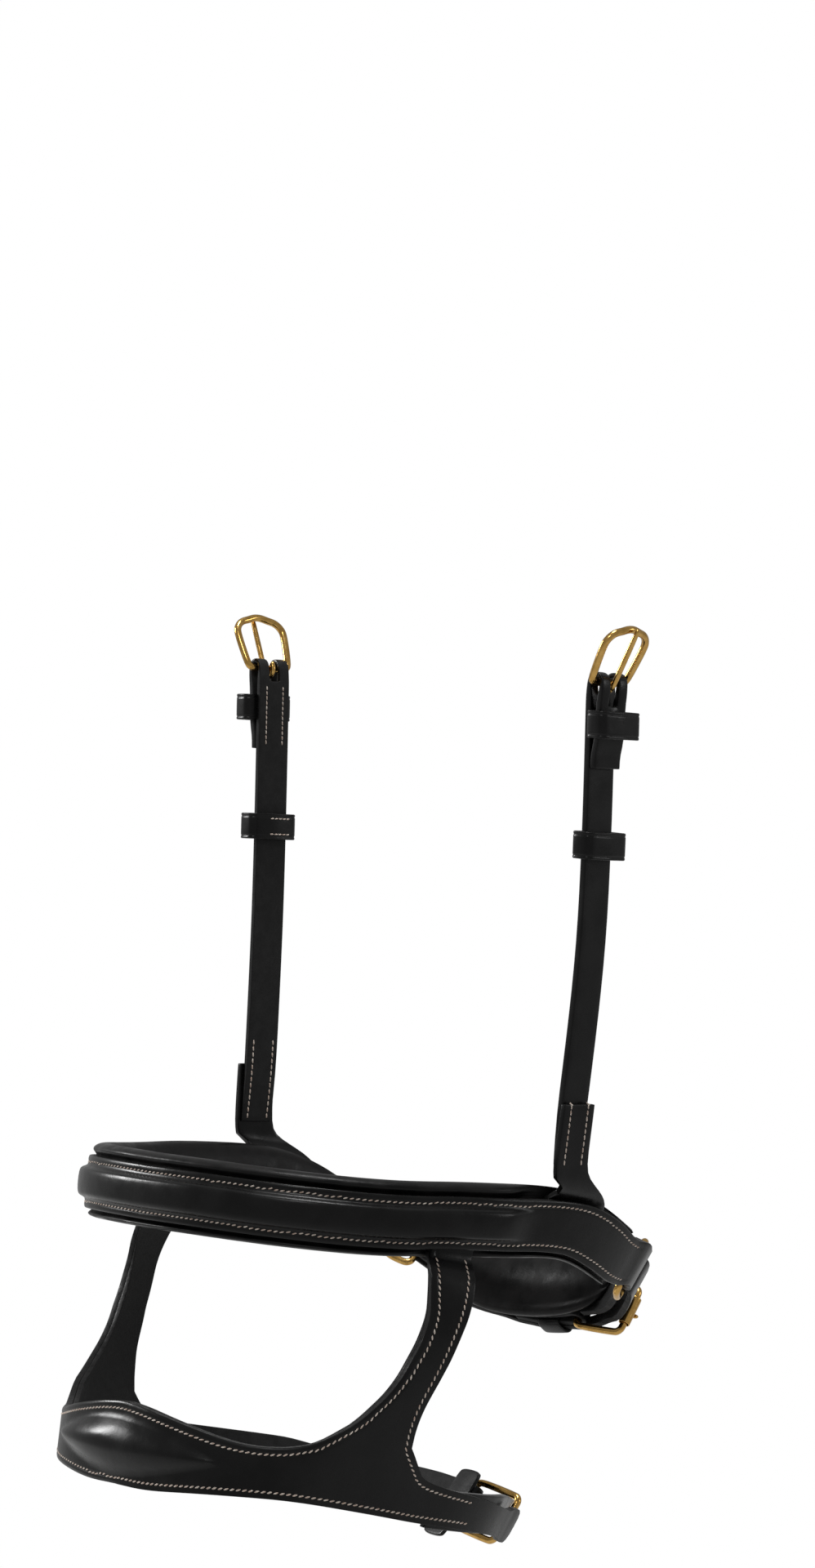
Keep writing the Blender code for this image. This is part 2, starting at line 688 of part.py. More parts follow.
def upper_filler(finishes):
    """The cord of felt that lifts the middle of the band."""
    rings = []
    half = 0.40 * BAND_WIDTH / 2
    for along in stations(0, FILLER_STATIONS):
        low = -LEATHER
        high = max(band_raise(along, 0.3) - LEATHER - GAP, low + GAP)
        section = ((-half, low), (half, low), (half, (low + high) / 2), (half / 2, high),
                   (-half / 2, high), (-half, (low + high) / 2))
        rings.append([upper_place(along, across, out) for across, out in section])
    mirrored(loft("upper_band_filler", finishes["lining"], rings, closed_start=False))


# Section of the lining pad: across as a share of half PAD_WIDTH, out as a share of PAD_DEPTH
# inwards from under the leather. The rolls stand up beside the leather's two edges.
PAD_SECTION_SHARES = (
    (-0.67, 0.0), (-0.30, 0.0), (0.0, 0.0), (0.30, 0.0), (0.67, 0.0), (0.73, -0.10), (0.81, -0.22),
    (0.90, -0.16), (0.99, 0.10), (1.00, 0.42), (0.87, 0.74), (0.48, 0.95), (0.0, 1.0),
    (-0.46, 0.95), (-0.76, 0.74), (-0.87, 0.42), (-0.88, 0.10), (-0.83, -0.14), (-0.78, -0.18),
    (-0.73, -0.08),
)
SIDE_TUCKED_OUT = -LEATHER - POCKET_GAP - LEATHER / 2
POCKET_OUT = SIDE_TUCKED_OUT - LEATHER / 2 - POCKET_GAP
SIDE_POCKET_SHARES = (0.336, 0.367, 0.443, 0.475)
TAB_POCKET_SHARES = (0.475, 0.490, 0.613, 0.640)


def pocket(shares, along):
    around = abs(along) / UPPER_GIRTH
    return ease(shares[0], shares[1], around) * (1 - ease(shares[2], shares[3], around))


def upper_lining(finishes):
    """The soft pad under the band, with hollows where the side straps and tabs are sewn in."""
    top_out = -LEATHER - GAP
    rings = []
    for along in stations(0, PAD_STATIONS):
        around = along / UPPER_GIRTH
        slim = ease(0.46, PAD_STATIONS * STATION_SHARE, around)
        ring = []
        for across_share, depth_share in PAD_SECTION_SHARES:
            across = across_share * PAD_WIDTH / 2
            beyond = max(abs(across) - PAD_SECTION_SHARES[4][0] * PAD_WIDTH / 2, 0.0)
            across -= math.copysign(beyond * 0.75 * slim, across)
            depth = depth_share * PAD_DEPTH
            depth *= (1 - 0.8 * slim) if depth_share < 0 else (1 - 0.62 * slim)
            out = top_out - depth
            if depth_share < 0.2:
                sunk = pocket(SIDE_POCKET_SHARES if across < 0 else TAB_POCKET_SHARES, along)
                sunk *= abs(across_share) > 0.2
                out += (min(out, POCKET_OUT) - out) * sunk
            ring.append(upper_place(along, across, out))
        rings.append(ring)
    mirrored(loft("upper_band_lining", finishes["lining"], rings, closed_start=False))


DROP_COLUMNS = (0.0, 0.14, 0.29, 0.43, 0.57, 0.71, 0.86, 1.0)
FRONT_STATION_SHARES = (0.0, 0.028, 0.056, 0.084, 0.112, 0.140, 0.170, 0.202, 0.236, 0.268, 0.296,
                        0.318)
ROOT_STEPS = 5
SIDE_STEPS = 12
NEAR_STATION_SHARES = (0.447, 0.462, 0.482, 0.510, 0.540, 0.570, 0.600, 0.630, 0.662, 0.690)
END_STATIONS = ((0.703, 0.94), (0.712, 0.70))
SIDE_EMERGE_SHARES = (0.84, 0.94)
LEAF_SHARES = (0.178, -0.028, 0.115)


def leaf_raise(around, height):
    """Height of the leaf-shaped cushion on the front of the drop band."""
    half_length, middle, half_height = LEAF_SHARES
    fall = (around / half_length) ** 2 + ((height - middle) / half_height) ** 2
    return LEAF_RISE * max(1 - fall, 0.0) ** 0.8


def drop_rows(front_end, strap_top):
    """Pattern of half the drop band with its side strap, as lists of rows of (around, height).

    Rows of the band run from its lower to its upper edge. The rows of the strap grow from the
    points of the band's upper edge between its front and rear roots.
    """
    front_root = (SIDE_FRONT_SHARES[0][1], SIDE_FRONT_SHARES[0][0])
    rear_root = (SIDE_REAR_SHARES[0][1], SIDE_REAR_SHARES[0][0])
    band = []
    tops = [(around, smooth(WINDOW_SHARES, around)) for around in FRONT_STATION_SHARES]
    root = []
    for step in range(ROOT_STEPS):
        share = step / (ROOT_STEPS - 1)
        root.append(tuple(a + (b - a) * share for a, b in zip(front_root, rear_root)))
    tops += root
    tops += [
        (around, smooth(NEAR_TOP_SHARES, around)) for around in NEAR_STATION_SHARES
        if around <= front_end
    ]
    for around, top in tops:
        low = smooth(LOWER_EDGE_SHARES, around)
        band.append([(around, low + (top - low) * share) for share in DROP_COLUMNS])
    if front_end >= END_STATIONS[-1][0]:
        for around, size in END_STATIONS:
            low, top = smooth(LOWER_EDGE_SHARES, around), smooth(NEAR_TOP_SHARES, around)
            middle = (low + top) / 2
            band.append([
                (around, middle + (low + (top - low) * share - middle) * size)
                for share in DROP_COLUMNS
            ])
    strap = []
    for step in range(SIDE_STEPS + 1):
        share = step / SIDE_STEPS
        front_height = front_root[1] + (strap_top - front_root[1]) * share
        rear_height = rear_root[1] + (strap_top - rear_root[1]) * share
        front = (smooth(SIDE_FRONT_SHARES, front_height), front_height)
        rear = (smooth(SIDE_REAR_SHARES, rear_height), rear_height)
        strap.append([
            tuple(a + (b - a) * column / (ROOT_STEPS - 1) for a, b in zip(front, rear))
            for column in range(ROOT_STEPS)
        ])
    return band, strap


def side_bow(around, height):
    """How far a side strap stands off the head, out of the bands that it joins."""
    front, rear = smooth(SIDE_FRONT_SHARES, height), smooth(SIDE_REAR_SHARES, height)
    share = min(max((around - front) / (rear - front), 0.0), 1.0)
    front_bow, rear_bow = smooth(FRONT_BOW_SHARES, height), smooth(REAR_BOW_SHARES, height)
    bow = front_bow + (rear_bow - front_bow) * share
    return SIDE_BOW * bow * ease(*BOW_START_SHARES, around) * (1 - ease(*BOW_END_SHARES, around))


def drop_sheet(name, finish, thickness, level, front_end, strap_top, leaf):
    """One sheet of the drop band and side straps, its middle line at a level under the surface."""
    bm = bmesh.new()
    for rows in drop_rows(front_end, strap_top):
        made = pattern_grid(len(rows), len(rows[0]))
        for vert in made.verts:
            around, height = rows[int(vert.co.x)][int(vert.co.y)]
            vert.co = Vector((around, height, 0.0))
        patch = mesh_from(made, name + "_patch")
        bm.from_mesh(patch)
        bpy.data.meshes.remove(patch)
    bmesh.ops.remove_doubles(bm, verts=bm.verts[:], dist=0.0001)
    bmesh.ops.recalc_face_normals(bm, faces=bm.faces[:])
    for vert in bm.verts:
        around, height = vert.co.x, vert.co.y
        out = level + (leaf_raise(around, height) if leaf else 0.0)
        out += (SIDE_TUCKED_OUT - FACE_OUT) * ease(*SIDE_EMERGE_SHARES, height)
        out += side_bow(around, height)
        vert.co = drop_place(around, height, out)
    obj = add_object(name, mesh_from(bm, name), finish)
    mirrored(obj)
    thickened(obj, thickness)
    return obj


DROP_LINING_OUT = FACE_OUT - LEATHER / 2 - GAP - DROP_LINING / 2
STRAP_TOP_SHARE = 1.0
LINING_TOP_SHARE = 0.79


def drop_band(finishes):
    drop_sheet(
        "drop_band_face", finishes["leather"], LEATHER, FACE_OUT, END_STATIONS[-1][0],
        STRAP_TOP_SHARE, True,
    )
    drop_sheet(
        "drop_band_lining", finishes["lining"], DROP_LINING, DROP_LINING_OUT,
        DROP_LINING_END_SHARE, LINING_TOP_SHARE, False,
    )
    leaf_filler(finishes)


def leaf_filler(finishes):
    """The leaf-shaped cushion under the front of the drop band."""
    half_length, middle, half_height = LEAF_SHARES
    rings = []
    for around in FRONT_STATION_SHARES[:6]:
        reach = half_height * 0.86 * math.sqrt(1 - (around / half_length) ** 2)
        low = -LEATHER
        section = [(middle - reach, low), (middle + reach, low)]
        for share in (0.9, 0.55, 0.0, -0.55, -0.9):
            height = middle + reach * share
            top = low + max((leaf_raise(around, height) - GAP) * 0.74, GAP)
            section.append((height, top))
        rings.append([drop_place(around, height, out) for height, out in section])
    mirrored(loft("drop_band_leaf_pad", finishes["lining"], rings, closed_start=False))


RING_OUT = FACE_OUT - FOLD


def ring_frame(side=1):
    """Matrix of a ring, its x axis on its front bar, and the length to its rear bar."""
    first = RING_BAR_SHARE * UPPER_GIRTH

    def place(along, across, out):
        point = upper_place(along, across, out)
        return Vector((side * point.x, point.y, point.z))

    last = first + RING_LENGTH
    matrix = frame_at(place, first, RING_OUT, last)
    return matrix, (place(last, 0.0, RING_OUT) - matrix.translation).length


def ring(name, finish, side):
    """The flat loop that joins the band's end to the chin strap."""
    matrix, length = ring_frame(side)
    half = BAND_END_WIDTH / 2 + SIDE_CLEARANCE + WIRE / 2
    outline = rounded_box(-half, half, 0.0, length, RING_CORNER)
    wire(name, finish, [(x, y, 0.0) for x, y in outline], WIRE / 2, matrix)


def at_ring(place, bar, side):
    """The same place, but square to a ring's rear bar wherever it is near."""
    matrix, length = ring_frame(side)
    return straight_near(place, bar, matrix @ Matrix.Translation((0.0, length, 0.0)))


CHIN_FLOOR_OUT = 0.0
CHIN_PAD_GAP = 0.0008
UPPER_BAR_OUT = CHIN_FLOOR_OUT + LEATHER / 2 + FOLD
CHIN_INNER_HALF = CHIN_WIDTH / 2 + SIDE_CLEARANCE
CHIN_SLOT_SHARE = 2 * SLOT_HALF / CHIN_WIDTH


def end_bar_out(bar_out, end_radius):
    """Out of a billet's middle line where it runs under the end of a tilted buckle frame."""
    rise = CHIN_BUCKLE_LENGTH * math.sin(math.radians(CHIN_BUCKLE_TILT))
    return bar_out + rise - end_radius - 3 * GAP - LEATHER / 2


def billet_path(bar, end_radius, start):
    """Path of a billet under a buckle's end, over its bar and on outside the strap."""
    along, out = bar
    reach = CHIN_BUCKLE_LENGTH * math.cos(math.radians(CHIN_BUCKLE_TILT))
    over = out + FOLD + LEATHER + GAP
    seat = out + TURNED_SEAT_OUT + LEATHER + GAP
    low = end_bar_out(out, end_radius)
    path = list(start)
    path += [(along - reach - WIRE, low), (along - reach + WIRE, low)]
    path += [(along - share * reach, over + (low - over) * share) for share in (0.62, 0.36, 0.12)]
    path += [(along, over), (along + 0.4 * SLOT_OUTER_REACH, over)]
    path += [(along + SLOT_OUTER_REACH, seat)]
    return path


def billet_slot(bar, end_radius):
    """Test for the long hole that the tongue passes through."""
    reach = CHIN_BUCKLE_LENGTH * math.cos(math.radians(CHIN_BUCKLE_TILT))

    def is_open(along, out, share):
        ahead = (bar[0] - along) / reach
        return -0.2 < ahead < 0.62 and share < CHIN_SLOT_SHARE and out > end_bar_out(bar[1], end_radius)

    return is_open


CHIN_COLUMNS = (-1, -CHIN_SLOT_SHARE, 0, CHIN_SLOT_SHARE, 1)
CHIN_CHAPE_COLUMNS = (-1, -CHIN_SLOT_SHARE, CHIN_SLOT_SHARE, 1)


def chin_slot(bar, towards):
    def is_open(along, out, share):
        back = towards * (bar[0] - along)
        reach = SLOT_OUTER_REACH if out > bar[1] else SLOT_INNER_REACH
        return back < reach and share < CHIN_SLOT_SHARE

    return is_open


def billet_tail(bar, seat, level, holes):
    """Path of the billet's free end, over the keeper's seat and the turned end of the strap."""
    keeper_end = bar[0] + FIXED_KEEPER_DROP + KEEPER_WIDTH / 2 + GAP
    down = bar[0] + TURN_BACK + 2 * LEATHER
    over = bar[1] + TURNED_END_OUT + LEATHER + GAP
    low = level + LEATHER + GAP
    points = [(bar[0] + FIXED_KEEPER_DROP, seat), (keeper_end, seat)]
    points += [((keeper_end + TURN_BACK + bar[0]) / 2, over), (bar[0] + TURN_BACK + 2 * GAP, over)]
    points += [(down + index * HOLE_SPACING / 2, low) for index in range(2 * holes + 2)]
    return points


def roller(name, finish, matrix, length):
    """A tube that turns on the end of the frame. Its x axis is the frame's end."""
    half = CHIN_INNER_HALF - BUCKLE_CORNER
    profile = [(-half, WIRE / 2 + GAP), (half, WIRE / 2 + GAP), (half, ROLLER / 2), (-half, ROLLER / 2)]
    bm = bmesh.new()
    verts = [bm.verts.new((x, radius, 0.0)) for x, radius in profile]
    edges = [bm.edges.new((verts[index], verts[(index + 1) % 4])) for index in range(4)]
    bmesh.ops.spin(
        bm, geom=verts + edges, cent=(0, 0, 0), axis=(1, 0, 0), angle=2 * math.pi, steps=12,
        use_merge=True,
    )
    bmesh.ops.recalc_face_normals(bm, faces=bm.faces[:])
    at_end = matrix @ Matrix.Translation((0.0, length, 0.0))
    add_object(name, mesh_from(bm, name), finish, at_end)


def upper_chin(finishes):
    bar = (UPPER_BAR_SHARE * UPPER_GIRTH, UPPER_BAR_OUT)
    far_ring = (2 - RING_BAR_SHARE) * UPPER_GIRTH - RING_LENGTH
    near_ring = RING_BAR_SHARE * UPPER_GIRTH + RING_LENGTH
    half = CHIN_WIDTH / 2

    # The strap: turned back inside the far ring, along outside the pad, and over the buckle bar
    level = UPPER_BAR_OUT + BODY_OUT
    turned = RING_OUT + FOLD - LEATHER - GAP
    start = [(far_ring - TURN_BACK / 2, turned), (far_ring - FOLD * 2, turned)]
    start += [(far_ring + x, out) for x, out in fold_over((0.0, RING_OUT), 1)]
    start += [(far_ring - FOLD * 3, RING_OUT + FOLD + LEATHER / 2)]
    pad_end = CHIN_PAD_SHARES[1] * UPPER_GIRTH
    body = [(along - bar[0], out - bar[1]) for along, out in start]
    body += even_run(pad_end + FOLD - bar[0], SLOT_OUTER_REACH, level - bar[1])
    path = buckle_strap_path(bar, -1, body)
    level_matrix = frame_at(upper_place, *bar, bar[0] - CHIN_BUCKLE_LENGTH)
    at_bar = straight_near(upper_place, bar, level_matrix, -1)
    leather(
        "chin_strap", finishes["leather"], LEATHER, path, lambda along: half,
        at_ring(at_bar, (far_ring, RING_OUT), -1), CHIN_CHAPE_COLUMNS, is_open=chin_slot(bar, -1),
    )

    # The billet: from the pad's near end in through the near ring and back out to the buckle
    pad_start = CHIN_PAD_SHARES[0] * UPPER_GIRTH
    start = even_run(bar[0] - FOLD * 2, pad_start, level)
    start += [((pad_start + near_ring) / 2, (level + RING_OUT - FOLD) / 2)]
    start += [(near_ring + FOLD, RING_OUT - FOLD)]
    start += fold_over((near_ring, RING_OUT), -1)
    start += [(near_ring + FOLD * 2, RING_OUT + FOLD)]
    path = billet_path(bar, ROLLER / 2, start)
    path += billet_tail(bar, path[-1][1], level, 1)
    leather(
        "chin_billet", finishes["leather"], LEATHER, path, lambda along: half,
        at_ring(at_bar, (near_ring, RING_OUT), 1), CHIN_COLUMNS,
        is_open=billet_slot(bar, ROLLER / 2), holes=[len(path) - 3], hole_size=HOLE,
    )
    matrix = buckle(
        "chin_buckle", finishes["brass"], level_matrix, CHIN_INNER_HALF, CHIN_BUCKLE_LENGTH,
        CHIN_BUCKLE_TILT, 0.0, BUCKLE_CORNER,
    )
    tongue("chin_buckle_tongue", finishes["brass"], matrix, CHIN_BUCKLE_LENGTH, ROLLER / 2)
    roller("chin_buckle_roller", finishes["brass"], matrix, CHIN_BUCKLE_LENGTH)
    chin_keeper("chin_fixed_keeper", finishes, at_bar, bar, KEEPER_WIDTH)
    chin_pad(finishes)


def chin_keeper(name, finishes, place, bar, width):
    """The keeper that is sewn between the strap and its turned end."""
    low = bar[1] + KEEPER_SEAT_OUT
    high = bar[1] + TURNED_SEAT_OUT + LEATHER * 1.5 + GAP * 2 + THIN_LEATHER / 2
    keeper(
        name, finishes["leather"], place, bar[0] + FIXED_KEEPER_DROP, width,
        CHIN_WIDTH / 2 + GAP + THIN_LEATHER / 2, low, high,
    )


# Section of the chin pad: across as a share of half its width, inwards as a share of its depth
CHIN_PAD_SECTION_SHARES = (
    (-0.80, 0.0), (0.0, 0.0), (0.80, 0.0), (0.97, 0.14), (1.0, 0.36), (0.90, 0.56), (0.76, 0.52),
    (0.56, 0.80), (0.26, 0.97), (0.0, 1.0), (-0.26, 0.97), (-0.56, 0.80), (-0.76, 0.52),
    (-0.90, 0.56), (-1.0, 0.36), (-0.97, 0.14),
)
CHIN_PAD_STATION_SHARES = (0.0, 0.03, 0.08, 0.16, 0.26, 0.38, 0.50, 0.62, 0.74, 0.84, 0.92, 0.97, 1.0)


def chin_pad(finishes):
    """The cushion behind the chin, crowned inwards, with a rolled rim."""
    first, last = (share * UPPER_GIRTH for share in CHIN_PAD_SHARES)
    rings = []
    for share in CHIN_PAD_STATION_SHARES:
        fullness = max(1 - abs(2 * share - 1) ** 3.2, 0.0) ** 0.5
        width = 0.30 + 0.70 * fullness
        depth = 0.25 + 0.75 * fullness
        along = first + (last - first) * share
        ring_points = []
        for across_share, depth_share in CHIN_PAD_SECTION_SHARES:
            across = CHIN_PAD_LIFT + across_share * width * CHIN_PAD_WIDTH / 2
            out = CHIN_FLOOR_OUT - CHIN_PAD_GAP - depth_share * depth * CHIN_PAD_DEPTH
            ring_points.append(upper_place(along, across, out))
        rings.append(ring_points)
    loft("chin_pad", finishes["lining"], rings)


LOWER_BAR_OUT = FOLD


def lower_chin(finishes):
    bar = (LOWER_BAR_SHARE * LOWER_GIRTH, LOWER_BAR_OUT)
    half = CHIN_WIDTH / 2
    tucked = FACE_OUT - LEATHER - GAP
    level = LOWER_BAR_OUT + BODY_OUT
    face_end = END_STATIONS[-1][0] * LOWER_GIRTH
    start = LOWER_STRAP_START_SHARE * LOWER_GIRTH
    round_chin = 2 * LOWER_GIRTH - bar[0]
    body = even_run(round_chin - start, round_chin - face_end, tucked - bar[1])
    body += even_run(round_chin - face_end - LEATHER * 3, SLOT_OUTER_REACH, level - bar[1])
    path = buckle_strap_path(bar, -1, body)
    level_matrix = frame_at(lower_place, *bar, bar[0] - CHIN_BUCKLE_LENGTH)
    at_bar = straight_near(lower_place, bar, level_matrix, -1)
    leather(
        "lower_chin_strap", finishes["leather"], LEATHER, path, lambda along: half, at_bar,
        CHIN_CHAPE_COLUMNS, is_open=chin_slot(bar, -1),
    )
    run = even_run(start, face_end, tucked)
    path = billet_path(bar, WIRE / 2, run)
    path += billet_tail(bar, path[-1][1], level, 2)
    leather(
        "lower_chin_billet", finishes["leather"], LEATHER, path, lambda along: half, at_bar,
        CHIN_COLUMNS, is_open=billet_slot(bar, WIRE / 2),
        holes=[len(path) - 3, len(path) - 5], hole_size=HOLE,
    )
    matrix = buckle(
        "lower_chin_buckle", finishes["brass"], level_matrix, CHIN_INNER_HALF, CHIN_BUCKLE_LENGTH,
        CHIN_BUCKLE_TILT, 0.0, BUCKLE_CORNER,
    )
    tongue("lower_chin_buckle_tongue", finishes["brass"], matrix, CHIN_BUCKLE_LENGTH, WIRE / 2)
    chin_keeper("lower_chin_fixed_keeper", finishes, at_bar, bar, KEEPER_WIDTH)
    seat_low = level - LEATHER / 2 - 2 * GAP - THIN_LEATHER / 2
    seat_high = level + LEATHER * 1.5 + GAP * 3 + THIN_LEATHER / 2
    keeper(
        "lower_chin_runner", finishes["leather"], lower_place,
        bar[0] + TURN_BACK + HOLE_SPACING, KEEPER_WIDTH,
        CHIN_WIDTH / 2 + 2 * GAP + THIN_LEATHER / 2, seat_low, seat_high,
    )
    guard(finishes, at_bar, bar[0] - WIRE / 2, level - LEATHER / 2 - GAP - THIN_LEATHER / 2)


def guard(finishes, at_bar, middle, out):
    """The plate sewn inside the strap behind the buckle, which keeps it off the skin."""
    half = GUARD_WIDTH / 2
    reaches = (half, half - GUARD_CORNER * 0.3, half - GUARD_CORNER, 0.0)
    reaches += tuple(-reach for reach in reversed(reaches[:3]))
    path = [(middle - reach, out) for reach in reaches]

    def half_height(along):
        inside = max(half - GUARD_CORNER - abs(along - middle), -GUARD_CORNER)
        short = GUARD_CORNER - math.sqrt(GUARD_CORNER ** 2 - min(inside, 0.0) ** 2)
        return GUARD_HEIGHT / 2 - short

    def place(along, across, level):
        return at_bar(along, across - GUARD_DROP, level)

    leather(
        "lower_chin_guard", finishes["leather"], THIN_LEATHER, path, half_height, place,
        (-1, -0.5, 0, 0.5, 1),
    )


def main():
    clear_scene()
    finishes = {
        "leather": material("black bridle leather", LEATHER_BLACK, 0.32),
        "lining": material("soft black lining leather", LINING_BLACK, 0.55),
        "brass": material("polished brass", BRASS, 0.18, 1.0),
    }
    upper_band(finishes)
    drop_band(finishes)
    for side, name in ((1, "near"), (-1, "far")):
        cheek(side, name, finishes)
        ring(name + "_ring", finishes["brass"], side)
    upper_chin(finishes)
    lower_chin(finishes)


main()
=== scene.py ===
"""Looks of the double noseband: leather, padding, stitching, brass and studio light round the
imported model. Metres, +Z up, the nose towards -Y, the horse's left side at +X.

Both bands and the keepers of the cheek straps are made anew from flat patterns with fine points.
The other pieces are their nodes' own meshes, rounded and smoothed.
"""

import bisect
import json
import math

import bmesh
import bpy
import numpy as np
from mathutils import Matrix, Vector
from mathutils.bvhtree import BVHTree

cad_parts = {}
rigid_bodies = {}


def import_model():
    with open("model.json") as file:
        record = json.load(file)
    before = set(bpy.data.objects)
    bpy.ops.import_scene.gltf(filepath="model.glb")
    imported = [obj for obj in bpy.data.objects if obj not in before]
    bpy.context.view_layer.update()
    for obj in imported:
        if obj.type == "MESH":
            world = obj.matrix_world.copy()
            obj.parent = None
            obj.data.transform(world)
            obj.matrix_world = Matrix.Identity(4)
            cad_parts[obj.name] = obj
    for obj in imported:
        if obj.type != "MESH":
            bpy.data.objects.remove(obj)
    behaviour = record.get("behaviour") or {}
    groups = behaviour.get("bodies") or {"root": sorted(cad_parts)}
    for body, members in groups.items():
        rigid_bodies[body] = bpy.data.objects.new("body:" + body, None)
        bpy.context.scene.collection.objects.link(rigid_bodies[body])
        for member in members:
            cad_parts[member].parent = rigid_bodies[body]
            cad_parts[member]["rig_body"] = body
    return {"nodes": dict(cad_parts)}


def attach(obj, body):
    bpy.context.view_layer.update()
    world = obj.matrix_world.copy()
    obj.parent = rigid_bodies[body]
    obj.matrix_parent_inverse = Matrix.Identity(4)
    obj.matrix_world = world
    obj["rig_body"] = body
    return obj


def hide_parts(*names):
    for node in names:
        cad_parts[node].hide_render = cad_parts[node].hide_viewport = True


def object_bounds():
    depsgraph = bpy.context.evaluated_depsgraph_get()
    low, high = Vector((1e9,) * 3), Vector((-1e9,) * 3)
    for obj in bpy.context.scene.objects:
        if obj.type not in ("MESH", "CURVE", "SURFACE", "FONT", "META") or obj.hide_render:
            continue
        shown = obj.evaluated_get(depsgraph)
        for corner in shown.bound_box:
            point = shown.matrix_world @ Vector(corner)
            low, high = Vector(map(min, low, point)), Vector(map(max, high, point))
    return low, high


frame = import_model()
cad_box = [list(corner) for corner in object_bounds()]

# Camera: three-quarter view from the horse's near side, almost level
CAMERA_TARGET = (0.0, -0.0117, -0.0387)
CAMERA_AZIMUTH = 50.0
CAMERA_DROP = 3.107
CAMERA_DISTANCE = 2.0588
LENS = 131.25

MM = 0.001

# Head form: half sizes of the two girths, where they cross the nose, how far they lie down
UPPER_HALF_WIDTH = 0.086
UPPER_HALF_DEPTH = 0.102
LOWER_HALF_WIDTH = 0.079
LOWER_HALF_DEPTH = 0.077
UPPER_NOSE = 0.1317
LOWER_NOSE = 0.1427
UPPER_DROP = 0.1767
LOWER_DROP = 0.2637
TILT_SHARE = 0.2
ROUNDNESS = 2.4
GIRTH_STEPS = 721
SAMPLE_SHARE = 0.004
SAMPLE_STEP = 0.001

# Leather
LEATHER = 0.0026
THIN_LEATHER = 0.0016
TAB_LEATHER = 0.0022
DROP_LINING = 0.0020
GAP = 0.0003
POCKET_GAP = 0.0004
BAND_WIDTH = 0.019
BAND_END_WIDTH = 0.0164
BAND_RAISE = 0.0030
BAND_RISE = 0.010
LEAF_RISE = 0.0046
SIDE_BOW = 0.0063
BILLET_WIDTH = 0.016

# Buckles, rings and keepers
WIRE = 0.0030
RING_LENGTH = 0.012
STRAIGHT_REACH = 0.005
KEEPER_WIDTH = 0.0096
KEEPER_CORNER = 0.0022
BILLET_ROOM = 0.0034

# Cheek straps, from the buckle bar down to the upper band
CHEEK_SPAN = 0.189
CHEEK_LENGTH = 0.1713
CHEEK_SPREAD = 0.0054
CHEEK_SWEEP = 0.0127
CHEEK_BOW_BACK = 0.0030
CHEEK_BOW_OUT = 0.0020
CHEEK_TURN = 5.0
CHEEK_END = 0.169
FIXED_KEEPER_DROP = 0.0145
RUNNER_DROP = 0.057
FAR_RUNNER_DROP = 0.059

# Where things lie, as shares of the way from nose to chin
RING_BAR_SHARE = 0.739
CHAPE_END_SHARE = 0.690
DROP_LINING_END_SHARE = 0.505

# Middle line of the upper band and chin strap: share of the way round, rise as a share of BAND_RISE
UPPER_LINE_SHARES = (
    (0.00, 0.00), (0.15, 0.05), (0.21, 0.10), (0.28, 0.20), (0.34, 0.36), (0.39, 0.56),
    (0.47, 0.80), (0.527, 0.97), (0.57, 0.95), (0.62, 0.60), (0.67, 0.15), (0.735, -0.08),
    (0.785, -0.50), (0.85, -0.92), (0.93, -1.33), (1.00, -1.62), (1.06, -1.75), (1.12, -1.66),
    (1.17, -1.28), (1.215, -0.50), (1.265, -0.08), (1.33, 0.15), (1.38, 0.60),
)
# Outline of the drop band and its side strap: heights are shares of the drop between the bands
WINDOW_SHARES = (
    (0.000, 0.148), (0.023, 0.147), (0.059, 0.129), (0.092, 0.114), (0.134, 0.092), (0.173, 0.074),
    (0.212, 0.061), (0.245, 0.066), (0.279, 0.084), (0.308, 0.121), (0.340, 0.206),
)
SIDE_FRONT_SHARES = (
    (0.206, 0.340), (0.236, 0.348), (0.286, 0.359), (0.349, 0.371), (0.423, 0.380), (0.502, 0.385),
    (0.583, 0.389), (0.692, 0.389), (0.787, 0.383), (0.862, 0.379), (1.008, 0.375),
)
SIDE_REAR_SHARES = (
    (0.146, 0.434), (0.220, 0.429), (0.319, 0.427), (0.452, 0.431), (0.584, 0.434), (0.746, 0.436),
    (0.862, 0.436), (1.008, 0.433),
)
NEAR_TOP_SHARES = (
    (0.434, 0.146), (0.457, 0.075), (0.475, 0.029), (0.513, 0.001), (0.569, -0.020),
    (0.620, -0.039), (0.712, -0.078),
)
LOWER_EDGE_SHARES = (
    (0.000, -0.186), (0.030, -0.190), (0.075, -0.188), (0.137, -0.170), (0.216, -0.148),
    (0.300, -0.132), (0.420, -0.143), (0.493, -0.156), (0.569, -0.161), (0.712, -0.190),
)

# How far the side straps stand off the head: height, share of SIDE_BOW
FRONT_BOW_SHARES = (
    (-0.14, 0.0), (0.0, 0.30), (0.1, 0.55), (0.2, 0.78), (0.3, 0.85), (0.42, 0.92), (0.55, 1.0),
    (0.64, 0.97), (0.69, 0.90), (0.74, 0.78), (0.79, 0.65), (0.86, 0.37), (0.93, 0.0),
)
REAR_BOW_SHARES = (
    (-0.14, 0.0), (0.0, 0.12), (0.1, 0.28), (0.25, 0.54), (0.32, 0.71), (0.38, 0.84), (0.45, 0.97),
    (0.52, 1.10), (0.65, 1.16), (0.70, 1.14), (0.75, 1.02), (0.80, 0.81), (0.87, 0.42), (0.93, 0.0),
)
BOW_START_SHARES = (0.25, 0.335)
BOW_END_SHARES = (0.44, 0.50)

# How far a cheek strap bows from a straight line: share of the way down, share of the bow
CHEEK_BOW_SHARES = (
    (0.0, 0.0), (0.17, 0.42), (0.35, 0.80), (0.55, 1.0), (0.80, 0.60), (1.0, 0.05),
)


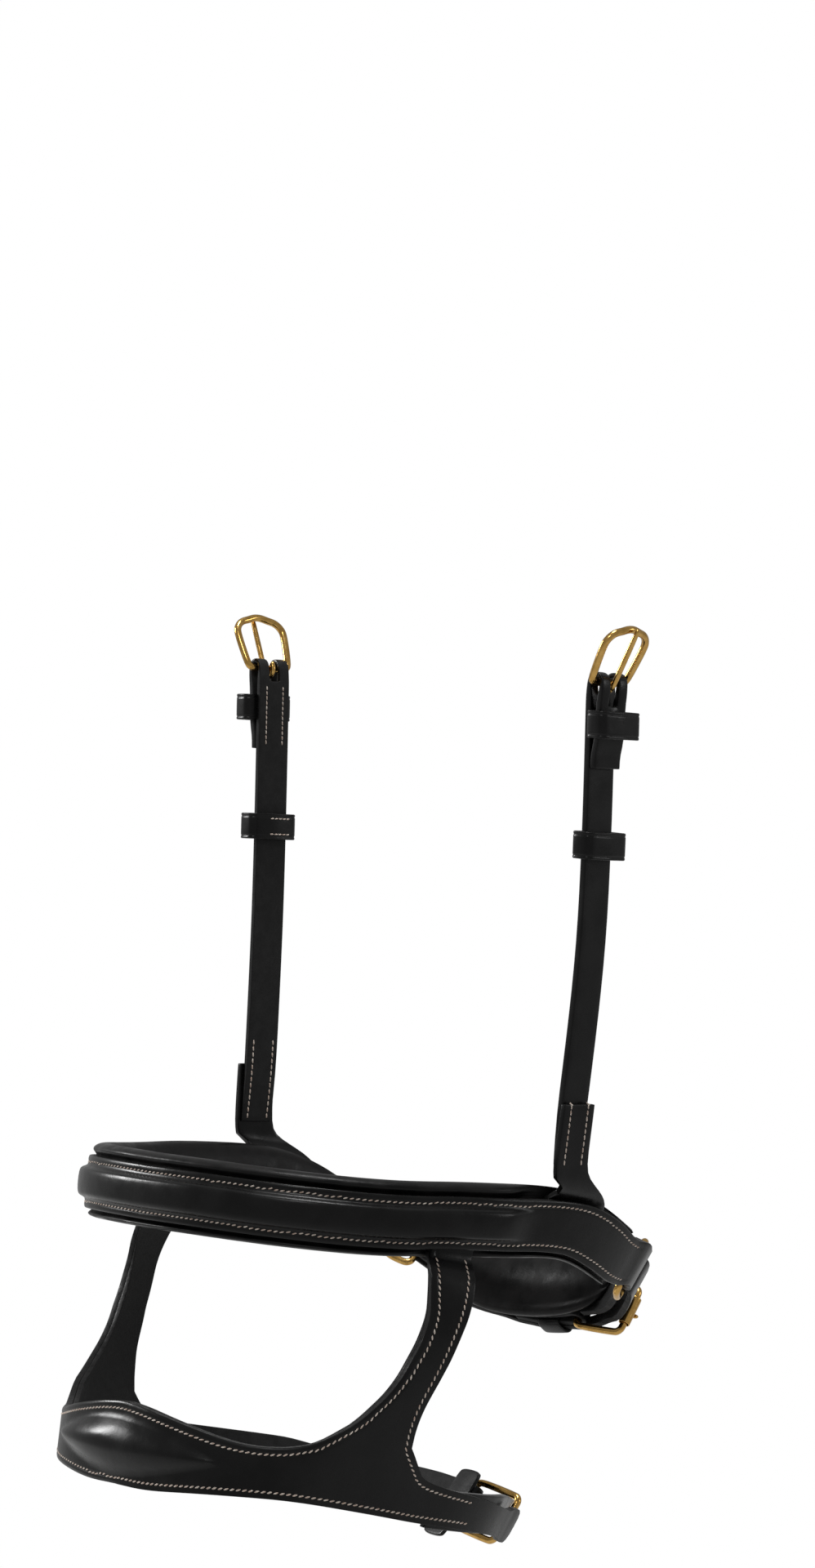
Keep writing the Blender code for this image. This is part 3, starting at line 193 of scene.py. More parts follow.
def smooth(table, place):
    """Value at a place on the smooth curve through a table of (place, value) pairs."""
    places = [row[0] for row in table]
    values = [row[1] for row in table]
    place = min(max(place, places[0]), places[-1])
    first = min(max(bisect.bisect_right(places, place) - 1, 0), len(table) - 2)

    def slope(row):
        low, high = max(row - 1, 0), min(row + 1, len(table) - 1)
        return (values[high] - values[low]) / (places[high] - places[low])

    step = places[first + 1] - places[first]
    t = (place - places[first]) / step
    rise = values[first + 1] - values[first]
    start, end = slope(first) * step, slope(first + 1) * step
    return values[first] + t * (start + t * (3 * rise - 2 * start - end + t * (start + end - 2 * rise)))


def between(table, place, column=1):
    """Value at a place on the straight lines through a table's rows."""
    return float(np.interp(place, [row[0] for row in table], [row[column] for row in table]))


def ease(low, high, value):
    """0 below low, 1 above high, and a smooth step between."""
    t = min(max((value - low) / (high - low), 0.0), 1.0)
    return t * t * (3 - 2 * t)


def girth_curve(half_width, half_depth, nose):
    """Half of a level section of the head, nose to chin: shares of its length, x and y."""
    turn = np.linspace(0.0, math.pi, GIRTH_STEPS)
    power = 2 / ROUNDNESS
    x = half_width * np.clip(np.sin(turn), 0.0, 1.0) ** power
    y = half_depth - nose - half_depth * np.sign(np.cos(turn)) * np.abs(np.cos(turn)) ** power
    run = np.concatenate(([0.0], np.cumsum(np.hypot(np.diff(x), np.diff(y)))))
    return run / run[-1], x, y, run[-1]


UPPER_CURVE = girth_curve(UPPER_HALF_WIDTH, UPPER_HALF_DEPTH, UPPER_NOSE)
LOWER_CURVE = girth_curve(LOWER_HALF_WIDTH, LOWER_HALF_DEPTH, LOWER_NOSE)
UPPER_GIRTH = UPPER_CURVE[3]
LOWER_GIRTH = LOWER_CURVE[3]
SIDE_DROP = LOWER_DROP - UPPER_DROP
LEAST_BLEND_SHARE = -0.3
MOST_BLEND_SHARE = 1.4


def head(share, height):
    """Point on the head: share is 0 at the nose and 1 at the chin, and past 1 the far side."""
    side = 1.0 if share >= 0 else -1.0
    share = abs(share)
    if share > 1:
        share, side = 2 - share, -side
    blend = (-UPPER_DROP - height) / SIDE_DROP
    blend = min(max(blend, LEAST_BLEND_SHARE), MOST_BLEND_SHARE)
    upper = [np.interp(share, UPPER_CURVE[0], UPPER_CURVE[axis]) for axis in (1, 2)]
    lower = [np.interp(share, LOWER_CURVE[0], LOWER_CURVE[axis]) for axis in (1, 2)]
    x, y = (a + (b - a) * blend for a, b in zip(upper, lower))
    return Vector((side * x, y, height - TILT_SHARE * (y + UPPER_NOSE)))


def turned_over(point, towards):
    """The point, or its mirror image where towards is negative."""
    return Vector((math.copysign(1.0, towards) * point.x, point.y, point.z))


def on_head(share, height, out):
    """Point at a distance out from the head's surface."""
    along = head(share + SAMPLE_SHARE, height) - head(share - SAMPLE_SHARE, height)
    up = head(share, height + SAMPLE_STEP) - head(share, height - SAMPLE_STEP)
    return head(share, height) + along.cross(up).normalized() * out


def upper_line(along):
    return BAND_RISE * smooth(UPPER_LINE_SHARES, abs(along) / UPPER_GIRTH) - UPPER_DROP


def upper_place(along, across, out):
    """Place of a pattern point of the upper band: across is square to the band's middle line."""
    step = upper_line(along + SAMPLE_STEP) - upper_line(along - SAMPLE_STEP)
    slope = math.atan2(step, 2 * SAMPLE_STEP)
    share = (along - across * math.sin(slope)) / UPPER_GIRTH
    return on_head(share, upper_line(along) + across * math.cos(slope), out)


def drop_place(around, height, out):
    """Place of a pattern point of the drop band, given as shares round and up."""
    return on_head(around, height * SIDE_DROP - LOWER_DROP, out)


def cheek_axes(side):
    """Bar centre and the across, up and outward directions of a cheek strap."""
    bar = Vector((side * CHEEK_SPAN / 2, 0.0, 0.0))
    up = Vector((side * CHEEK_SPREAD, CHEEK_SWEEP, CHEEK_LENGTH)).normalized()
    turn = math.radians(CHEEK_TURN)
    back = Vector((-side * math.sin(turn), math.cos(turn), 0.0)) * side
    across = (back - up * back.dot(up)).normalized()
    return bar, across, up, across.cross(up)


def cheek_place(side):
    bar, across_way, up, outward = cheek_axes(side)

    def place(along, across, out):
        bow = smooth(CHEEK_BOW_SHARES, -along / CHEEK_LENGTH)
        point = bar + up * along + across_way * across + outward * out
        return point + Vector((side * CHEEK_BOW_OUT, CHEEK_BOW_BACK, 0.0)) * bow

    return place


def arc(centre, radius, start, end, steps):
    """Points on an arc from a start to an end angle in degrees, with steps intervals."""
    points = []
    for index in range(steps + 1):
        angle = math.radians(start + (end - start) * index / steps)
        points.append((centre[0] + radius * math.cos(angle), centre[1] + radius * math.sin(angle)))
    return points


def rounded_box(low_x, high_x, low_y, high_y, radius, steps=3):
    """Outline of a rectangle with round corners, counterclockwise."""
    corners = (
        (high_x - radius, low_y + radius, -90), (high_x - radius, high_y - radius, 0),
        (low_x + radius, high_y - radius, 90), (low_x + radius, low_y + radius, 180),
    )
    points = []
    for x, y, start in corners:
        points += arc((x, y), radius, start, start + 90, steps)
    return points


def frame_at(place, along, out, ahead):
    """Matrix of a rigid piece: x across, y towards the along value ahead, z outwards."""
    origin = place(along, 0.0, out)
    y_way = (place(ahead, 0.0, out) - origin).normalized()
    across = place(along, SAMPLE_STEP, out) - place(along, -SAMPLE_STEP, out)
    x_way = (across - y_way * across.dot(y_way)).normalized()
    z_way = x_way.cross(y_way)
    if z_way.dot(place(along, 0.0, out + SAMPLE_STEP) - origin) < 0:
        x_way, z_way = -x_way, -z_way
    rows = Matrix((x_way, y_way, z_way)).transposed().to_4x4()
    return Matrix.Translation(origin) @ rows


def straight_near(place, bar, matrix):
    """The same place, but square to a bar, whose frame is the matrix, wherever it is near."""
    bar_along, bar_out = bar
    x_way, y_way, z_way = (matrix.col[axis].to_3d() for axis in range(3))
    origin = place(bar_along, 0.0, bar_out)
    if y_way.dot(place(bar_along + SAMPLE_STEP, 0.0, bar_out) - origin) < 0:
        y_way = -y_way
    if x_way.dot(place(bar_along, SAMPLE_STEP, bar_out) - origin) < 0:
        x_way = -x_way

    def straight(along, across, out):
        square = matrix.translation + x_way * across + y_way * (along - bar_along)
        square += z_way * (out - bar_out)
        freed = ease(STRAIGHT_REACH, 3 * STRAIGHT_REACH, abs(along - bar_along))
        return square.lerp(place(along, across, out), freed)

    return straight


# Radius of a fold round a bar, and the levels of the strap, the keeper and the turned end there
FOLD = WIRE / 2 + GAP + LEATHER / 2
BODY_OUT = -FOLD
KEEPER_SEAT_OUT = BODY_OUT + LEATHER / 2 + GAP + THIN_LEATHER / 2
TURNED_SEAT_OUT = KEEPER_SEAT_OUT + THIN_LEATHER / 2 + GAP + LEATHER / 2
FOLD_STEPS = 6


def fold_over(centre, towards):
    """Path of a fold round a bar, inner side to outer side, with its crown towards +1 or -1."""
    points = arc((0.0, 0.0), FOLD, -90, 90, FOLD_STEPS)
    return [(centre[0] + towards * x, centre[1] + y) for x, y in points]


def side_edges(height):
    return smooth(SIDE_FRONT_SHARES, height), smooth(SIDE_REAR_SHARES, height)


def side_bow(around, height):
    """How far a side strap stands off the head, out of the bands that it joins."""
    front, rear = side_edges(height)
    share = min(max((around - front) / (rear - front), 0.0), 1.0)
    front_bow, rear_bow = smooth(FRONT_BOW_SHARES, height), smooth(REAR_BOW_SHARES, height)
    bow = front_bow + (rear_bow - front_bow) * share
    return SIDE_BOW * bow * ease(*BOW_START_SHARES, around) * (1 - ease(*BOW_END_SHARES, around))


# Level of the bands' grain leather, and of the side straps' ends under the upper band
FACE_OUT = -LEATHER / 2
SIDE_TUCKED_OUT = -LEATHER - POCKET_GAP - LEATHER / 2
SIDE_EMERGE_SHARES = (0.84, 0.94)


# Finishes


def linear(code):
    """Linear colour of an sRGB hex value."""
    channels = [int(code[at:at + 2], 16) / 255 for at in (1, 3, 5)]
    return [c / 12.92 if c <= 0.04045 else ((c + 0.055) / 1.055) ** 2.4 for c in channels] + [1.0]


def add_node(tree, kind, settings=None, **inputs):
    """A node with its settings, and with values or links for its inputs, by name or as i0, i1."""
    node = tree.nodes.new(kind)
    for name, value in (settings or {}).items():
        setattr(node, name, value)
    for name, value in inputs.items():
        numbered = name[0] == "i" and name[1:].isdigit()
        socket = node.inputs[int(name[1:])] if numbered else node.inputs[name.replace("_", " ")]
        if isinstance(value, bpy.types.NodeSocket):
            tree.links.new(value, socket)
        else:
            socket.default_value = value
    return node


def new_material(name, **settings):
    made = bpy.data.materials.new(name)
    made.use_nodes = True
    tree = made.node_tree
    shader = tree.nodes["Principled BSDF"]
    for socket, value in settings.items():
        shader.inputs[socket.replace("_", " ")].default_value = value
    return made, tree, shader


# Detail of the patches' clouds, and the part of them that runs from dark to light
PATCH_DETAIL = 3.0
PATCH_RANGE = (0.35, 0.65)


def clouds(tree, where, size, detail):
    """Height of a noise, or of cells where detail is None, of a size in millimetres."""
    shared = {"Vector": where, "Scale": 1 / (size * MM)}
    if detail is None:
        return add_node(tree, "ShaderNodeTexVoronoi", **shared).outputs["Distance"]
    return add_node(tree, "ShaderNodeTexNoise", Detail=detail, **shared).outputs["Fac"]


def finish(name, tones, layers, **settings):
    """A material from (patch size, dark, light, least and most roughness) and layers of bumps.

    Each layer is (size, detail, strength, depth), sizes and depths in millimetres.
    """
    made, tree, shader = new_material(name, **settings)
    where = add_node(tree, "ShaderNodeTexCoord").outputs["Object"]
    patch, dark, light, smoothest, roughest = tones
    spread = add_node(
        tree, "ShaderNodeMapRange", Value=clouds(tree, where, patch, PATCH_DETAIL),
        From_Min=PATCH_RANGE[0], From_Max=PATCH_RANGE[1],
    ).outputs["Result"]
    tone = add_node(
        tree, "ShaderNodeMix", {"data_type": "RGBA"}, Factor=spread, i6=linear(dark),
        i7=linear(light),
    )
    rough = add_node(tree, "ShaderNodeMapRange", Value=spread, To_Min=smoothest, To_Max=roughest)
    tree.links.new(tone.outputs[2], shader.inputs["Base Color"])
    tree.links.new(rough.outputs["Result"], shader.inputs["Roughness"])
    before = {}
    for size, detail, strength, depth in layers:
        bump = add_node(
            tree, "ShaderNodeBump", Height=clouds(tree, where, size, detail), Strength=strength,
            Distance=depth * MM, **before,
        )
        before = {"Normal": bump.outputs["Normal"]}
    tree.links.new(before["Normal"], shader.inputs["Normal"])
    return made


# Bridle leather: vegetable-tanned butt, dyed black, waxed and polished. The wax gives broad, soft
# grey highlights; long, faint creases and hair pores break them up.
GRAIN = finish(
    "black waxed bridle leather", (11, "#090909", "#111111", 0.22, 0.32),
    [(6, 4.0, 0.30, 0.35), (0.45, 2.0, 0.30, 0.05)], Specular_IOR_Level=0.19,
)
# Flesh side of the same leather: boarded and dyed but not polished, so matte charcoal with a
# fibrous nap.
FLESH = finish(
    "black dyed flesh side", (4, "#1B1B1B", "#292929", 0.58, 0.8),
    [(3, 3.0, 0.4, 0.3), (0.6, 5.0, 0.5, 0.12)], Specular_IOR_Level=0.15,
)
# Cut edge: bevelled, dyed and burnished, with the layers of the hide running along it.
EDGE = finish(
    "black burnished edge", (2, "#0D0D0D", "#1B1A1A", 0.30, 0.5),
    [(6, 3.0, 0.5, 0.7), (0.7, 4.0, 0.4, 0.12)], Specular_IOR_Level=0.2,
)
# Lining leather: thin drum-dyed hide drawn over foam. Duller than the bridle leather, with short
# wrinkles where the padding curves and a fine pebbled grain.
LINING = finish(
    "black drum-dyed lining leather", (8, "#0A0A0A", "#141313", 0.29, 0.48),
    [(4, 4.0, 0.28, 0.5), (0.55, None, 0.22, 0.05)], Specular_IOR_Level=0.15,
)
# Brass: cast, tumbled and buffed. Deep gold, mirror-like, with faint buffing marks.
BRASS = finish(
    "buffed cast brass", (3, "#B08A4A", "#C69F5C", 0.14, 0.24), [(2.5, 1.0, 0.15, 0.05)],
    Metallic=1.0,
)
# Thread: waxed linen, laid in two plies, cream with a faint pink and grey from handling.
THREAD = finish(
    "waxed linen thread", (1.3, "#BFA595", "#E9DFD4", 0.5, 0.65), [(0.25, 2.0, 0.5, 0.06)],
    IOR=1.5,
)


# Pieces


def mesh_from(name, bm):
    """A mesh of a bmesh, which is let go."""
    mesh = bpy.data.meshes.new(name)
    bm.to_mesh(mesh)
    bm.free()
    return mesh


def in_scene(name, data):
    """A new object in the scene."""
    holder = bpy.data.objects.new(name, data)
    bpy.context.scene.collection.objects.link(holder)
    return holder


def finished(name, bm, materials, body, nodes=()):
    """An object from a bmesh, riding on its body and standing for its nodes."""
    mesh = mesh_from(name, bm)
    for material in materials:
        mesh.materials.append(material)
    for polygon in mesh.polygons:
        polygon.use_smooth = True
    piece = in_scene(name, mesh)
    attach(piece, body)
    if nodes:
        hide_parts(*nodes)
    return piece


# How near points are joined, how far thin leather is rounded, and at which angles
WELD = 0.002 * MM
SLIVER = 0.001 * MM
THIN_ROUND = 0.3 * MM
JOIN_ANGLE, JOIN_SKEW = math.radians(35), math.radians(60)
CUT_EDGE_ANGLE = math.radians(50)


def rounded(piece, width=0.35 * MM):
    """Rounds a piece's cut edges."""
    edge = piece.modifiers.new("rounded edge", "BEVEL")
    edge.width = width
    edge.segments = 3
    edge.limit_method = "ANGLE"
    edge.angle_limit = CUT_EDGE_ANGLE
    edge.harden_normals = False
    return piece


def smoothed(piece, levels):
    """Subdivides a piece's surface."""
    finer = piece.modifiers.new("smooth", "SUBSURF")
    finer.levels = finer.render_levels = levels
    return piece


def skived(side, end, face_out, left, reach=13.0 * MM):
    """Thins a cheek leather towards one end: the face at face_out stays, a share is left."""
    place = cheek_place(side)
    middle = place(end, 0.0, face_out)
    down = (place(end - MM, 0.0, face_out) - middle).normalized()
    outwards = (place(end, 0.0, face_out + MM) - middle).normalized()

    def shape(bm):
        for vert in bm.verts:
            near = 1 - min(abs((vert.co - middle).dot(down)) / reach, 1.0)
            vert.co -= outwards * (vert.co - middle).dot(outwards) * (1 - left) * near

    return shape


def copied(node, materials, levels=2, round_over=0.4 * MM, sharp=38.0, finish_of=None,
           shape=None):
    """A finer piece from a node's own mesh: its cut edges rounded, then smoothed."""
    source = frame["nodes"][node]
    bm = bmesh.new()
    bm.from_mesh(source.data)
    bmesh.ops.remove_doubles(bm, verts=bm.verts[:], dist=WELD)
    bmesh.ops.dissolve_degenerate(bm, edges=bm.edges[:], dist=SLIVER)
    bmesh.ops.join_triangles(
        bm, faces=bm.faces[:], angle_face_threshold=JOIN_ANGLE, angle_shape_threshold=JOIN_SKEW
    )
    bmesh.ops.recalc_face_normals(bm, faces=bm.faces[:])
    if shape:
        shape(bm)
    if finish_of:
        for face in bm.faces:
            face.material_index = finish_of(face)
    if round_over:
        turned = [
            edge for edge in bm.edges
            if len(edge.link_faces) == 2 and edge.calc_face_angle() > math.radians(sharp)
        ]
        bmesh.ops.bevel(
            bm, geom=turned, offset=round_over, affect="EDGES", segments=2, profile=0.5,
            material=-1, clamp_overlap=True,
        )
    piece = finished(node + "_skin", bm, materials, source["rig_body"], [node])
    return smoothed(piece, levels) if levels else piece


def grid(rows, columns, place=Vector):
    """A sheet of rows and columns whose points lie where place((row, column, 0)) says."""
    bm = bmesh.new()
    bmesh.ops.create_grid(bm, x_segments=rows - 1, y_segments=columns - 1, size=1.0)
    for vert in bm.verts:
        row = round((vert.co.x + 1) / 2 * (rows - 1))
        column = round((vert.co.y + 1) / 2 * (columns - 1))
        vert.co = place((row, column, 0))
    return bm


def thick(bm, outer, inner):
    """Makes a flat pattern a solid sheet: outer and inner give each pattern point its place."""
    bmesh.ops.recalc_face_normals(bm, faces=bm.faces[:])
    bmesh.ops.solidify(bm, geom=bm.faces[:], thickness=1.0)
    for face in bm.faces:
        levels = {abs(vert.co.z) > 0.5 for vert in face.verts}
        face.material_index = 2 if len(levels) == 2 else int(levels.pop())
    for vert in bm.verts:
        place = inner if abs(vert.co.z) > 0.5 else outer
        vert.co = place(vert.co.x, vert.co.y)
    bmesh.ops.recalc_face_normals(bm, faces=bm.faces[:])
    return bm


def add_part(whole, part):
    """Puts one bmesh into another, and lets it go."""
    mesh = mesh_from("part", part)
    whole.from_mesh(mesh)
    bpy.data.meshes.remove(mesh)


def part_way(first, last, share):
    return tuple(a + (b - a) * share for a, b in zip(first, last))


def finer_path(path, step):
    """The same path of (along, out) points with none further apart than the step."""
    points = [path[0]]
    for first, last in zip(path, path[1:]):
        parts = max(math.ceil(math.dist(first, last) / step), 1)
        points += [part_way(first, last, part / parts) for part in range(1, parts + 1)]
    return points


MARGIN = 2.35 * MM
# Depth of a sewn edge by distance from the cut: the bevelled margin, then the groove of the row
MARGIN_SECTION = (
    (0.0, -0.42), (0.35, -0.20), (0.9, -0.05), (1.5, 0.0), (1.9, -0.06), (2.35, -0.24),
    (2.8, -0.06), (3.2, 0.0), (60.0, 0.0),
)


def margin_depth(distance):
    return MM * between(MARGIN_SECTION, distance / MM)


# Upper band

BAND_STEP = 3.0 * MM
# Columns across half the band, in millimetres, close together where the section bends
BAND_COLUMNS = (0.0, 1.5, 3.0, 4.0, 4.6, 5.1, 5.6, 6.1, 6.7, 7.15, 7.6, 8.2, 8.8, 9.2, 9.5)
# The raised middle of the band: distance from the middle in millimetres, share of the raise
RAISE_SECTION = ((0.0, 1.0), (2.0, 0.985), (3.6, 0.93), (4.5, 0.84), (5.1, 0.62), (5.6, 0.25),
                 (6.1, 0.03), (6.5, 0.0), (20.0, 0.0))
# Where the band starts to narrow, and where its raise and its sewn margins run out
NARROW_SHARE = 0.6
RAISE_END_SHARES = (0.448, 0.500)
SEWN_END_SHARES = (0.69, 0.705)


def band_half(along):
    narrow = ease(NARROW_SHARE, RING_BAR_SHARE, abs(along) / UPPER_GIRTH)
    return (BAND_WIDTH + (BAND_END_WIDTH - BAND_WIDTH) * narrow) / 2


def band_lift(along, across):
    """How far the grain side stands out: the raised middle, less the sewn margin."""
    fade = 1 - ease(*RAISE_END_SHARES, abs(along) / UPPER_GIRTH)
    crown = between(RAISE_SECTION, abs(across) / MM)
    edge = band_half(along) - abs(across)
    sewn = 1 - ease(*SEWN_END_SHARES, abs(along) / UPPER_GIRTH)
    return BAND_RAISE * fade * crown + margin_depth(edge) * sewn


# Middle of a ring's front bar, as (along, out), and the ring's frame
RING_BAR = (RING_BAR_SHARE * UPPER_GIRTH, FACE_OUT - FOLD)
RING_FRAME = frame_at(upper_place, *RING_BAR, RING_BAR[0] + RING_LENGTH)
BAND_PLACE = straight_near(upper_place, RING_BAR, RING_FRAME)


def on_band(along, across, out):
    return turned_over(BAND_PLACE(abs(along), across, out), along)


def upper_band():
    """The band's leather, raised in the middle, its ends folded round the rings and back."""
    end = CHAPE_END_SHARE * UPPER_GIRTH
    turned = FACE_OUT - LEATHER - GAP
    half_path = finer_path([(0.0, FACE_OUT), (RING_BAR[0] - FOLD, FACE_OUT)], BAND_STEP)
    half_path += list(reversed(fold_over(RING_BAR, 1)))
    half_path += finer_path(
        [(RING_BAR[0] - FOLD, RING_BAR[1] - FOLD + GAP), ((RING_BAR[0] * 2 + end) / 3, turned),
         (end, turned)], BAND_STEP,
    )
    path = [(-1, along, out) for along, out in reversed(half_path[1:])]
    path += [(1, along, out) for along, out in half_path]
    columns = [-value for value in reversed(BAND_COLUMNS[1:])] + list(BAND_COLUMNS)
    ways = []
    for row in range(len(path)):
        first, last = path[max(row - 1, 0)], path[min(row + 1, len(path) - 1)]
        step = Vector((last[0] * last[1] - first[0] * first[1], last[2] - first[2])).normalized()
        ways.append((-step.y, step.x))

    def layer(offset):
        def place(row, column):
            side, along, out = path[round(row)]
            across = columns[round(column)] / BAND_COLUMNS[-1] * band_half(along)
            lift = band_lift(along, across) if out > RING_BAR[1] + GAP else 0.0
            if offset < 0:
                lift = min(lift, BAND_RAISE)
            ahead, away = ways[round(row)]
            point = BAND_PLACE(
                along + side * ahead * offset, across, out + away * offset + lift
            )
            return turned_over(point, side)
        return place

    bm = thick(grid(len(path), len(columns)), layer(LEATHER / 2), layer(-LEATHER / 2))
    piece = finished(
        "upper_band_leather", bm, [GRAIN, FLESH, EDGE], "noseband",
        ["upper_band_face", "upper_band_filler"],
    )
    return rounded(piece)


# Drop band and side straps

METRIC = (LOWER_GIRTH, SIDE_DROP)
EDGE_OFFSETS = (0.0, 0.35, 0.9, 1.5, 1.9, 2.35, 2.8, 3.3)
INNER_COLUMNS = 13
DROP_STEP_SHARE = 0.009
SIDE_ROWS = 36
# Share of the girth up to which both ends run alike, and the outline of the far end past it
ALIKE_SHARE = 0.70
FAR_END_SIZES = ((0.704, 0.97), (0.709, 0.88), (0.7125, 0.70))
FAR_CORNER_SHARE = 0.708
FAR_CORNER_RISE = 0.012
FAR_END_OUTLINE = ((0.712, -0.165), (0.7135, -0.135))
# Where the rear and front edges of a side strap go over into the edges of the band
REAR_ROOT = (0.434, 0.16)
FRONT_ROOT = (0.338, 0.21)
LOWER_EDGE_POINTS, EDGE_POINTS, WINDOW_POINTS = 90, 60, 80
WINDOW_STEPS = 40
END_STEPS = 12
SHEET_WELD = 0.1 * MM


def edge_shares(width):
    """Columns across a width: close together near both edges, then even."""
    near = [offset * MM / width for offset in EDGE_OFFSETS]
    step = (1 - 2 * near[-1]) / (INNER_COLUMNS + 1)
    middle = [near[-1] + step * index for index in range(1, INNER_COLUMNS + 1)]
    return near + middle + [1 - share for share in reversed(near)]


def edge_points(edge, first, last, count):
    return [(around, edge(around)) for around in np.linspace(first, last, count)]


def drop_outline(side):
    """Half the outline of the drop band's leather, in flat metres, as three runs."""
    lower = edge_points(low_edge, 0, ALIKE_SHARE, LOWER_EDGE_POINTS)
    rear = edge_points(top_edge, ALIKE_SHARE, REAR_ROOT[0], EDGE_POINTS)
    rear += [
        (side_edges(height)[1], height) for height in np.linspace(REAR_ROOT[1], 1.0, EDGE_POINTS)
    ]
    if side > 0:
        end = edge_points(near_end, ALIKE_SHARE, NEAR_END_SHARE, END_STEPS)
        lower += [(around, low) for around, (low, top) in end]
        rear = [(around, top) for around, (low, top) in reversed(end)] + rear
    else:
        lower.append((FAR_CORNER_SHARE, low_edge(FAR_CORNER_SHARE) + FAR_CORNER_RISE))
        lower += FAR_END_OUTLINE
    front = [
        (side_edges(height)[0], height) for height in np.linspace(1.0, FRONT_ROOT[1], EDGE_POINTS)
    ]
    front += edge_points(window_edge, FRONT_ROOT[0], 0.0, WINDOW_POINTS)
    return [np.array(run) * METRIC for run in (lower, rear, front)]


SOFTENING = np.linspace(-0.03, 0.03, 7)
WINDOW_EVEN_SHARES = (0.22, 0.28)


def softened(table, around):
    """A table's smooth line, evened out and level where it crosses the nose."""
    return sum(smooth(table, abs(around + step)) for step in SOFTENING) / len(SOFTENING)


def low_edge(around):
    return softened(LOWER_EDGE_SHARES, around)


def window_edge(around):
    even = softened(WINDOW_SHARES, around)
    return even + (smooth(WINDOW_SHARES, around) - even) * ease(*WINDOW_EVEN_SHARES, around)


def top_edge(around):
    return smooth(NEAR_TOP_SHARES, around)


# The near end runs on past the far one, skived, and lies over the billet: around, its lower
# edge, and how far its upper edge has come down
NEAR_END_SHARE = 0.750
NEAR_END_SHARES = (
    (0.70, -0.200, -0.006), (0.72, -0.206, -0.012), (0.738, -0.204, -0.012),
    (0.745, -0.190, -0.002), (0.750, -0.162, 0.024),
)
NEAR_BLEND_SHARES = (0.70, 0.725)
# How far that end is lifted off the head, and how thick it is, in millimetres
NEAR_LIFT = ((0.68, 0.0), (0.70, 0.3), (0.72, 1.0), (0.75, 2.9))
NEAR_THICKNESS = ((0.69, 2.6), (0.73, 1.9), (0.77, 1.6), (0.80, 1.6))


def near_end(around):
    """Lower and upper edge of the near end."""
    blend = ease(*NEAR_BLEND_SHARES, around)
    low = between(NEAR_END_SHARES, around)
    lost = between(NEAR_END_SHARES, around, 2)
    low = low_edge(around) + (low - low_edge(around)) * blend
    return low, top_edge(ALIKE_SHARE) - lost * blend


OUTLINES = {side: drop_outline(side) for side in (1, -1)}


def distance_to_runs(point, runs):
    """Distance in metres from a flat point to the nearest of some runs."""
    best = 1.0
    for run in runs:
        start, step = run[:-1], np.diff(run, axis=0)
        share = np.clip(((point - start) * step).sum(1) / (step ** 2).sum(1), 0, 1)
        best = min(best, float(np.hypot(*(start + step * share[:, None] - point).T).min()))
    return best


LEAF_LENGTH_SHARE = 0.186
LEAF_HALF_SHARE = 0.118
LEAF_MIDDLE_SHARE = -0.028
LEAF_POINT_POWER = 1.6
LEAF_CROWN_POWERS = (0.8, 1.1)


def leaf_form(around, height):
    """Height of the leaf-shaped cushion: pointed at its ends, drawn down to a crease all round."""
    reach = abs(around) / LEAF_LENGTH_SHARE
    if reach >= 1:
        return 0.0
    half = LEAF_HALF_SHARE * (1 - reach ** LEAF_POINT_POWER)
    across = abs(height - LEAF_MIDDLE_SHARE) / half
    lengthways, crossways = LEAF_CROWN_POWERS
    return LEAF_RISE * (1 - reach ** 2) ** lengthways * max(1 - across ** 2, 0.0) ** crossways


def drop_level(around, height):
    """How far the middle of the drop band's leather lies out from the head."""
    out = FACE_OUT + leaf_form(around, height)
    out += (SIDE_TUCKED_OUT - FACE_OUT) * ease(*SIDE_EMERGE_SHARES, height)
    if around > NEAR_LIFT[0][0]:
        out += MM * between(NEAR_LIFT, around)
    return out + side_bow(abs(around), height)


def on_drop(around, height, above=0.0):
    point = drop_place(abs(around), height, drop_level(around, height) + above)
    return turned_over(point, around)


def strap_shares(front, rear):
    """Columns across a side strap, between two flat points."""
    return edge_shares(math.dist(np.array(front) * METRIC, np.array(rear) * METRIC))


def drop_patterns(end, top_height):
    """Rows of (around, height) for half the band and for one side strap."""
    front_root, rear_root = SIDE_FRONT_SHARES[0][::-1], SIDE_REAR_SHARES[0][::-1]
    shares = strap_shares(front_root, rear_root)
    tops = edge_points(window_edge, 0, front_root[0], WINDOW_STEPS)[:-1]
    tops += [part_way(front_root, rear_root, share) for share in shares]
    steps = math.ceil((end - rear_root[0]) / DROP_STEP_SHARE)
    tops += edge_points(top_edge, rear_root[0], end, steps)[1:]
    band = [column(around, low_edge(around), top) for around, top in tops]
    strap = []
    for step in range(SIDE_ROWS + 1):
        share = step / SIDE_ROWS
        heights = [root[1] + (top_height - root[1]) * share for root in (front_root, rear_root)]
        front = (smooth(SIDE_FRONT_SHARES, heights[0]), heights[0])
        rear = (smooth(SIDE_REAR_SHARES, heights[1]), heights[1])
        columns = strap_shares(front, rear) if step else shares
        strap.append([part_way(front, rear, part) for part in columns])
    return band, strap


def column(around, low, top):
    """Points of a column of the band."""
    return [(around, low + (top - low) * share) for share in edge_shares((top - low) * SIDE_DROP)]


def drop_ends():
    """Rows of the far end, and of the near end that lies over the billet."""
    low, top = low_edge(ALIKE_SHARE), top_edge(ALIKE_SHARE)
    far = [column(-ALIKE_SHARE, low, top)]
    near = [column(ALIKE_SHARE, low, top)]
    for around, size in FAR_END_SIZES:
        low, top = low_edge(around), top_edge(around)
        middle, half = (low + top) / 2, (top - low) / 2 * size
        far.append(column(-around, middle - half, middle + half))
    for around, edges in edge_points(near_end, ALIKE_SHARE, NEAR_END_SHARE, END_STEPS)[1:]:
        near.append(column(around, *edges))
    return far, near


